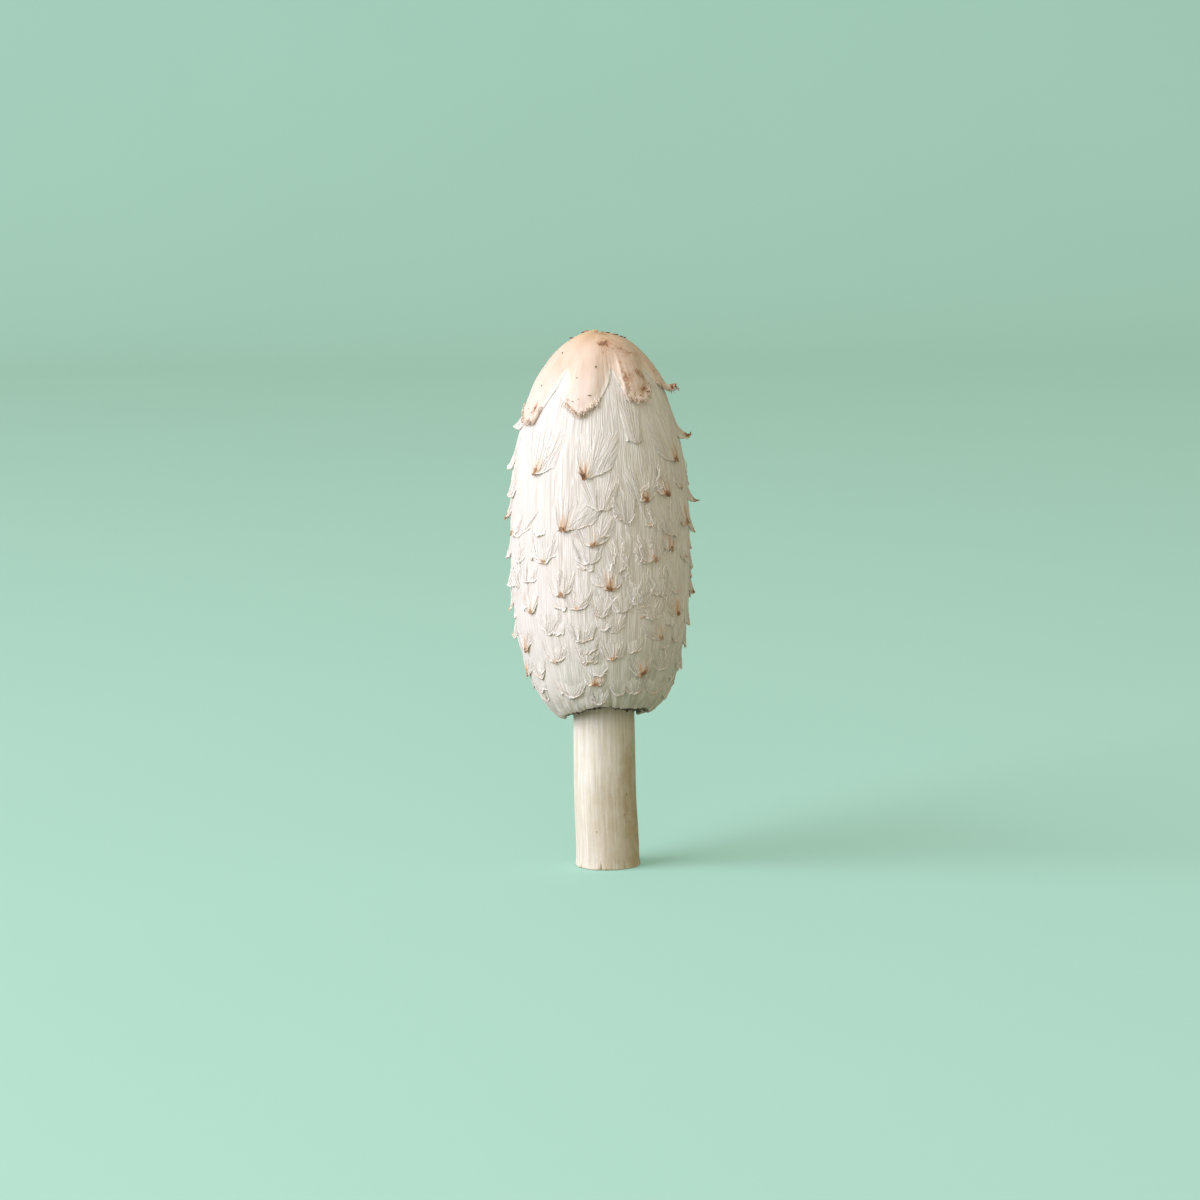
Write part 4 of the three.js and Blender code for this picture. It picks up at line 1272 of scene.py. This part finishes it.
def cap_white(n, flow, edge, aside, fine, lines):
    """The cap's colour without brown and ink: fibres with painted shade in their hollows, painted shade on
    the lit left side, a glassy foot that painted shade makes strongest on the right, and pale edges that are
    partly a painted highlight.
    """
    cloud = n.noise(flow, (0.14, 0.14, 0.14))
    patchy = n.noise(flow, (0.22, 0.22, 0.16))
    glassy = n.mix(n.ranged(patchy, 0.4, 0.6), *GLASSY_FOOT_AND_SHADE_COLORS)
    foot = n.ranged(n.part(flow, "Z"), 80.0, 108.0)
    # fibre streaks, darker in the bump's hollows as painted shade
    return n.layered(n.mix(n.ranged(fine, 0.36, 0.62), *FIBRE_AND_HOLLOW_SHADE_COLORS), [
        (n.ranged(cloud, 0.4, 0.75, 0, 0.35), CLOUD_COLOR),
        # thin raised lines, paler as a painted highlight
        (n.times(lines, 0.85), LINE_COLOR),
        # painted shade: the cap is made darker on the left, where the key lamp lights it
        (n.ranged(aside, -0.02, -0.006, 0.6, 0.0), LIT_SIDE_PAINTED_SHADE),
        # glassy grey-green foot near the edge, with painted shade that makes it strongest on the right, away
        # from the key lamp
        (
            n.times(foot, n.ranged(aside, -0.016, 0.006, 0.4, 0.95)),
            n.mix(n.times(lines, 0.5), glassy, GLASSY_LINE_COLOR),
        ),
        # pale edges, hems and loose fibres: partly their own paleness, partly a painted highlight
        (n.times(edge, 0.85), n.mix(n.ranged(cloud, 0.35, 0.6), *EDGE_AND_HIGHLIGHT_COLORS)),
    ])


def cap_look(n):
    flow, tone, edge = n.values("flow", "tone", "edge")
    aside = n.part(n.place(), "X")
    broad = n.noise(flow, (1.3, 1.3, 0.05), 2, 0.5, 0.35)
    fine = n.noise(flow, (2.5, 2.5, 0.1), 2, 0.55, 0.3)
    lines = n.ranged(n.math("ABSOLUTE", n.math("SUBTRACT", broad, 0.5)), 0.0, 0.07, 1.0, 0.0)
    streaked = n.times(tone, n.ranged(fine, 0.35, 0.65, 0.65, 1.3))
    ink = n.times(tone, n.ranged(fine, 0.3, 0.7, -1.6, -0.8))
    height = n.math("MULTIPLY_ADD", lines, 0.45, n.math("MULTIPLY_ADD", broad, 0.6, fine))
    return dict(
        Base_Color=n.layered(cap_white(n, flow, edge, aside, fine, lines), [
            (n.ranged(streaked, 0.03, 0.3), n.ramp(n.times(streaked, 0.7), TIP_STOPS)),
            (n.ranged(ink, 0.25, 0.65), INK_COLOR),
        ]),
        Roughness=n.ranged(fine, 0.3, 0.7, 0.85, 0.6),
        Normal=n.bump(height, 0.00016, n.ranged(aside, -0.022, -0.004, 0.3, 0.95)),
        Subsurface_Weight=0.3,
        Subsurface_Radius=(1.0, 0.9, 0.8),
        Subsurface_Scale=0.0003,
        Sheen_Weight=0.15,
        Sheen_Roughness=0.5,
        Specular_IOR_Level=0.25,
    )


def crown_look(n):
    flow, tone, edge = n.values("flow", "tone", "edge")
    down = n.part(flow, "Z")
    cloud = n.noise(flow, (0.16, 0.16, 0.1), 4, 0.6)
    streak = n.noise(flow, (1.5, 1.5, 0.09), 3, 0.6)
    grain = n.noise(flow, (1.9, 1.9, 1.7), 5, 0.75)
    fibrous = n.times(n.ranged(streak, 0.4, 0.7), n.ranged(down, 14.0, 24.0, 0.1, 0.6))
    mottled = n.times(n.ranged(grain, 0.3, 0.66, 0.3, 1.4), n.ranged(streak, 0.3, 0.65, 0.45, 1.25))
    stain = n.times(tone, mottled)
    woolly = n.math("MULTIPLY_ADD", edge, 0.75, 0.1)
    return dict(
        Base_Color=n.layered(n.mix(n.ranged(down, 13.0, 24.0), *SKIN_COLORS), [
            (n.ranged(down, 1.0, 12.0, 0.85, 0.0), SKIN_TOP_COLOR),
            (n.ranged(cloud, 0.42, 0.75, 0, 0.5), SKIN_CLOUD_COLOR),
            (fibrous, SKIN_FIBRE_COLOR),
            (n.times(edge, 0.85), FRINGE_COLOR),
            (n.ranged(tone, -0.1, -0.7), TORN_COLOR),
            (n.ranged(stain, 0.02, 0.55), n.mix(n.ranged(stain, 0.15, 0.9), *STAIN_COLORS)),
        ]),
        Roughness=n.ranged(cloud, 0.3, 0.7, 0.5, 0.62),
        Normal=n.bump(grain, 0.00018, woolly, Normal=n.bump(streak, 0.00012, 0.5)),
        Subsurface_Weight=0.2,
        Subsurface_Radius=(1.0, 0.7, 0.45),
        Subsurface_Scale=0.001,
        Specular_IOR_Level=0.35,
    )


def stem_look(n):
    flow, tone, edge = n.values("flow", "tone", "edge")
    fibre = n.noise(flow, (1.5, 1.5, 0.06), 3, 0.6, 0.3)
    fine = n.noise(flow, (3.5, 3.5, 1.1), 3, 0.75)
    cloud = n.noise(flow, (0.42, 0.42, 0.26), 5, 0.65)
    warm = n.times(tone, n.ranged(cloud, 0.3, 0.7, 0.45, 0.95))
    return dict(
        # stem fibres, darker in the bump's grooves as painted shade
        Base_Color=n.layered(n.mix(n.ranged(fibre, 0.32, 0.68), *STEM_AND_GROOVE_SHADE_COLORS), [
            (n.ranged(fine, 0.5, 0.8, 0, 0.45), STEM_GRAIN_COLOR),
            (n.ranged(cloud, 0.45, 0.7, 0, 0.35), STEM_CLOUD_COLOR),
            # brown patches, and painted shade on the right side
            (n.times(warm, 0.9), STEM_BROWN_AND_SHADE_COLOR),
            (n.ranged(tone, 1.6, 2.2), STEM_SPECK_COLOR),
            (n.times(edge, 0.35), CUT_COLOR),
        ]),
        Roughness=n.ranged(fibre, 0.3, 0.7, 0.6, 0.45),
        Normal=n.bump(n.math("MULTIPLY_ADD", fine, 0.8, fibre), 0.00014, 0.65),
        Subsurface_Weight=0.25,
        Subsurface_Radius=(1.0, 0.8, 0.5),
        Subsurface_Scale=0.0012,
        Specular_IOR_Level=0.35,
    )


def gill_look(n):
    flow, tone = n.values("flow", "tone")
    veins = n.noise(flow, (1.2, 1.0, 0.5))
    pale = n.mix(n.ranged(veins, 0.3, 0.7), *GILL_COLORS)
    return dict(
        Base_Color=n.mix(n.ranged(tone, 0.0, 0.55), pale, GILL_INK_COLOR),
        Roughness=n.ranged(tone, 0, 1, 0.6, 0.4),
        Normal=n.bump(veins, 0.0001, 0.4),
        Specular_IOR_Level=0.35,
    )


def floor_look(n):
    grain = n.noise(n.place(), (6.0, 6.0, 6.0))
    shade = tuple(MINT_SHADE * part for part in MINT)
    return dict(
        Base_Color=n.mix(n.ranged(grain, 0.3, 0.7), MINT, shade),
        Roughness=n.ranged(grain, 0.3, 0.7, 0.9, 0.95),
        Emission_Color=MINT_GLOW,
        Emission_Strength=1.0,
    )


# The stage, the light and the camera

FLOOR_HALF = 4.0
WALL_AT = 1.6
WALL_TOP = 3.0
COVE = 0.5
COVE_STEPS = 24


def make_stage():
    """A pale floor that curves up into a wall far behind."""
    turn = np.linspace(0, np.pi / 2, COVE_STEPS)
    y = np.concatenate([[-FLOOR_HALF], WALL_AT + COVE * np.sin(turn), [WALL_AT + COVE]])
    z = np.concatenate([[0], COVE * (1 - np.cos(turn)), [WALL_TOP]])
    x = np.array([-FLOOR_HALF, FLOOR_HALF])
    points = np.stack(np.broadcast_arrays(x[None, :], y[:, None], z[:, None]), -1)
    mesh = bpy.data.meshes.new("floor")
    mesh.from_pydata(points.reshape(-1, 3).tolist(), [], grid_faces(len(y), 2).tolist())
    for polygon in mesh.polygons:
        polygon.use_smooth = True
    mesh.materials.append(make_material("floor", floor_look))
    floor = bpy.data.objects.new("floor", mesh)
    bpy.context.scene.collection.objects.link(floor)
    floor.visible_diffuse = False


LIGHT_AIM = Vector((0, 0, 0.08))
# Each lamp's azimuth, elevation, distance, size, power and colour
LAMPS = {
    "key": (-67, 28, 2.2, 2.3, 66.5, (0.985, 0.982, 1.11)),
    "front": (0, 20, 2.5, 1.6, 9.8, (1.0, 0.94, 0.88)),
}
LIGHT_ABOVE = (0.5, 0.45, 0.32)
LIGHT_BELOW = (0.345, 0.335, 0.228)


def soft_lamp(name, azimuth, elevation, distance, size, power, color):
    light = bpy.data.lights.new(name, "AREA")
    light.shape = "DISK"
    light.size = size
    light.energy = power
    light.color = color
    lamp = bpy.data.objects.new(name, light)
    azimuth, elevation = math.radians(azimuth), math.radians(elevation)
    level = math.cos(elevation)
    way = Vector((level * math.sin(azimuth), -level * math.cos(azimuth), math.sin(elevation)))
    lamp.location = LIGHT_AIM + distance * way
    lamp.rotation_euler = (-way).to_track_quat("-Z", "Y").to_euler()
    lamp.visible_camera = False
    bpy.context.scene.collection.objects.link(lamp)


def make_light():
    """A big soft lamp from the left, a weak one from the front and a warm even light all round."""
    for name, values in LAMPS.items():
        soft_lamp(name, *values)
    world = bpy.data.worlds.new("studio")
    n = Nodes(world)
    height = n.part(n.place("Generated"), "Z")
    n.finish("Background", Color=n.ramp(height, [(0.0, LIGHT_BELOW), (0.5, LIGHT_ABOVE)]))
    bpy.context.scene.world = world
    bpy.context.scene.view_settings.view_transform = "Standard"


CAMERA_PLACE = (-0.6, -1350, 252.6)
CAMERA_PITCH = math.radians(7.585)
CAMERA_ROLL = math.radians(-0.9)
LENS = 151.0
SENSOR = 36


def make_camera():
    data = bpy.data.cameras.new("camera")
    data.sensor_width = SENSOR
    data.lens = LENS
    camera = bpy.data.objects.new("camera", data)
    turn = Matrix.Rotation(math.pi / 2 - CAMERA_PITCH, 4, "X") @ Matrix.Rotation(CAMERA_ROLL, 4, "Z")
    camera.matrix_world = Matrix.Translation(MM * Vector(CAMERA_PLACE)) @ turn
    bpy.context.scene.collection.objects.link(camera)
    bpy.context.scene.camera = camera


def main():
    cap = make_material("cap_fibres", cap_look)
    make_flesh(cap)
    make_scales(cap)
    crown = make_material("crown_skin", crown_look)
    make_crown(crown)
    make_crown_marks(crown)
    make_gills(make_material("gills", gill_look))
    make_stem(make_material("stem_flesh", stem_look))
    make_stage()
    make_light()
    make_camera()


main()
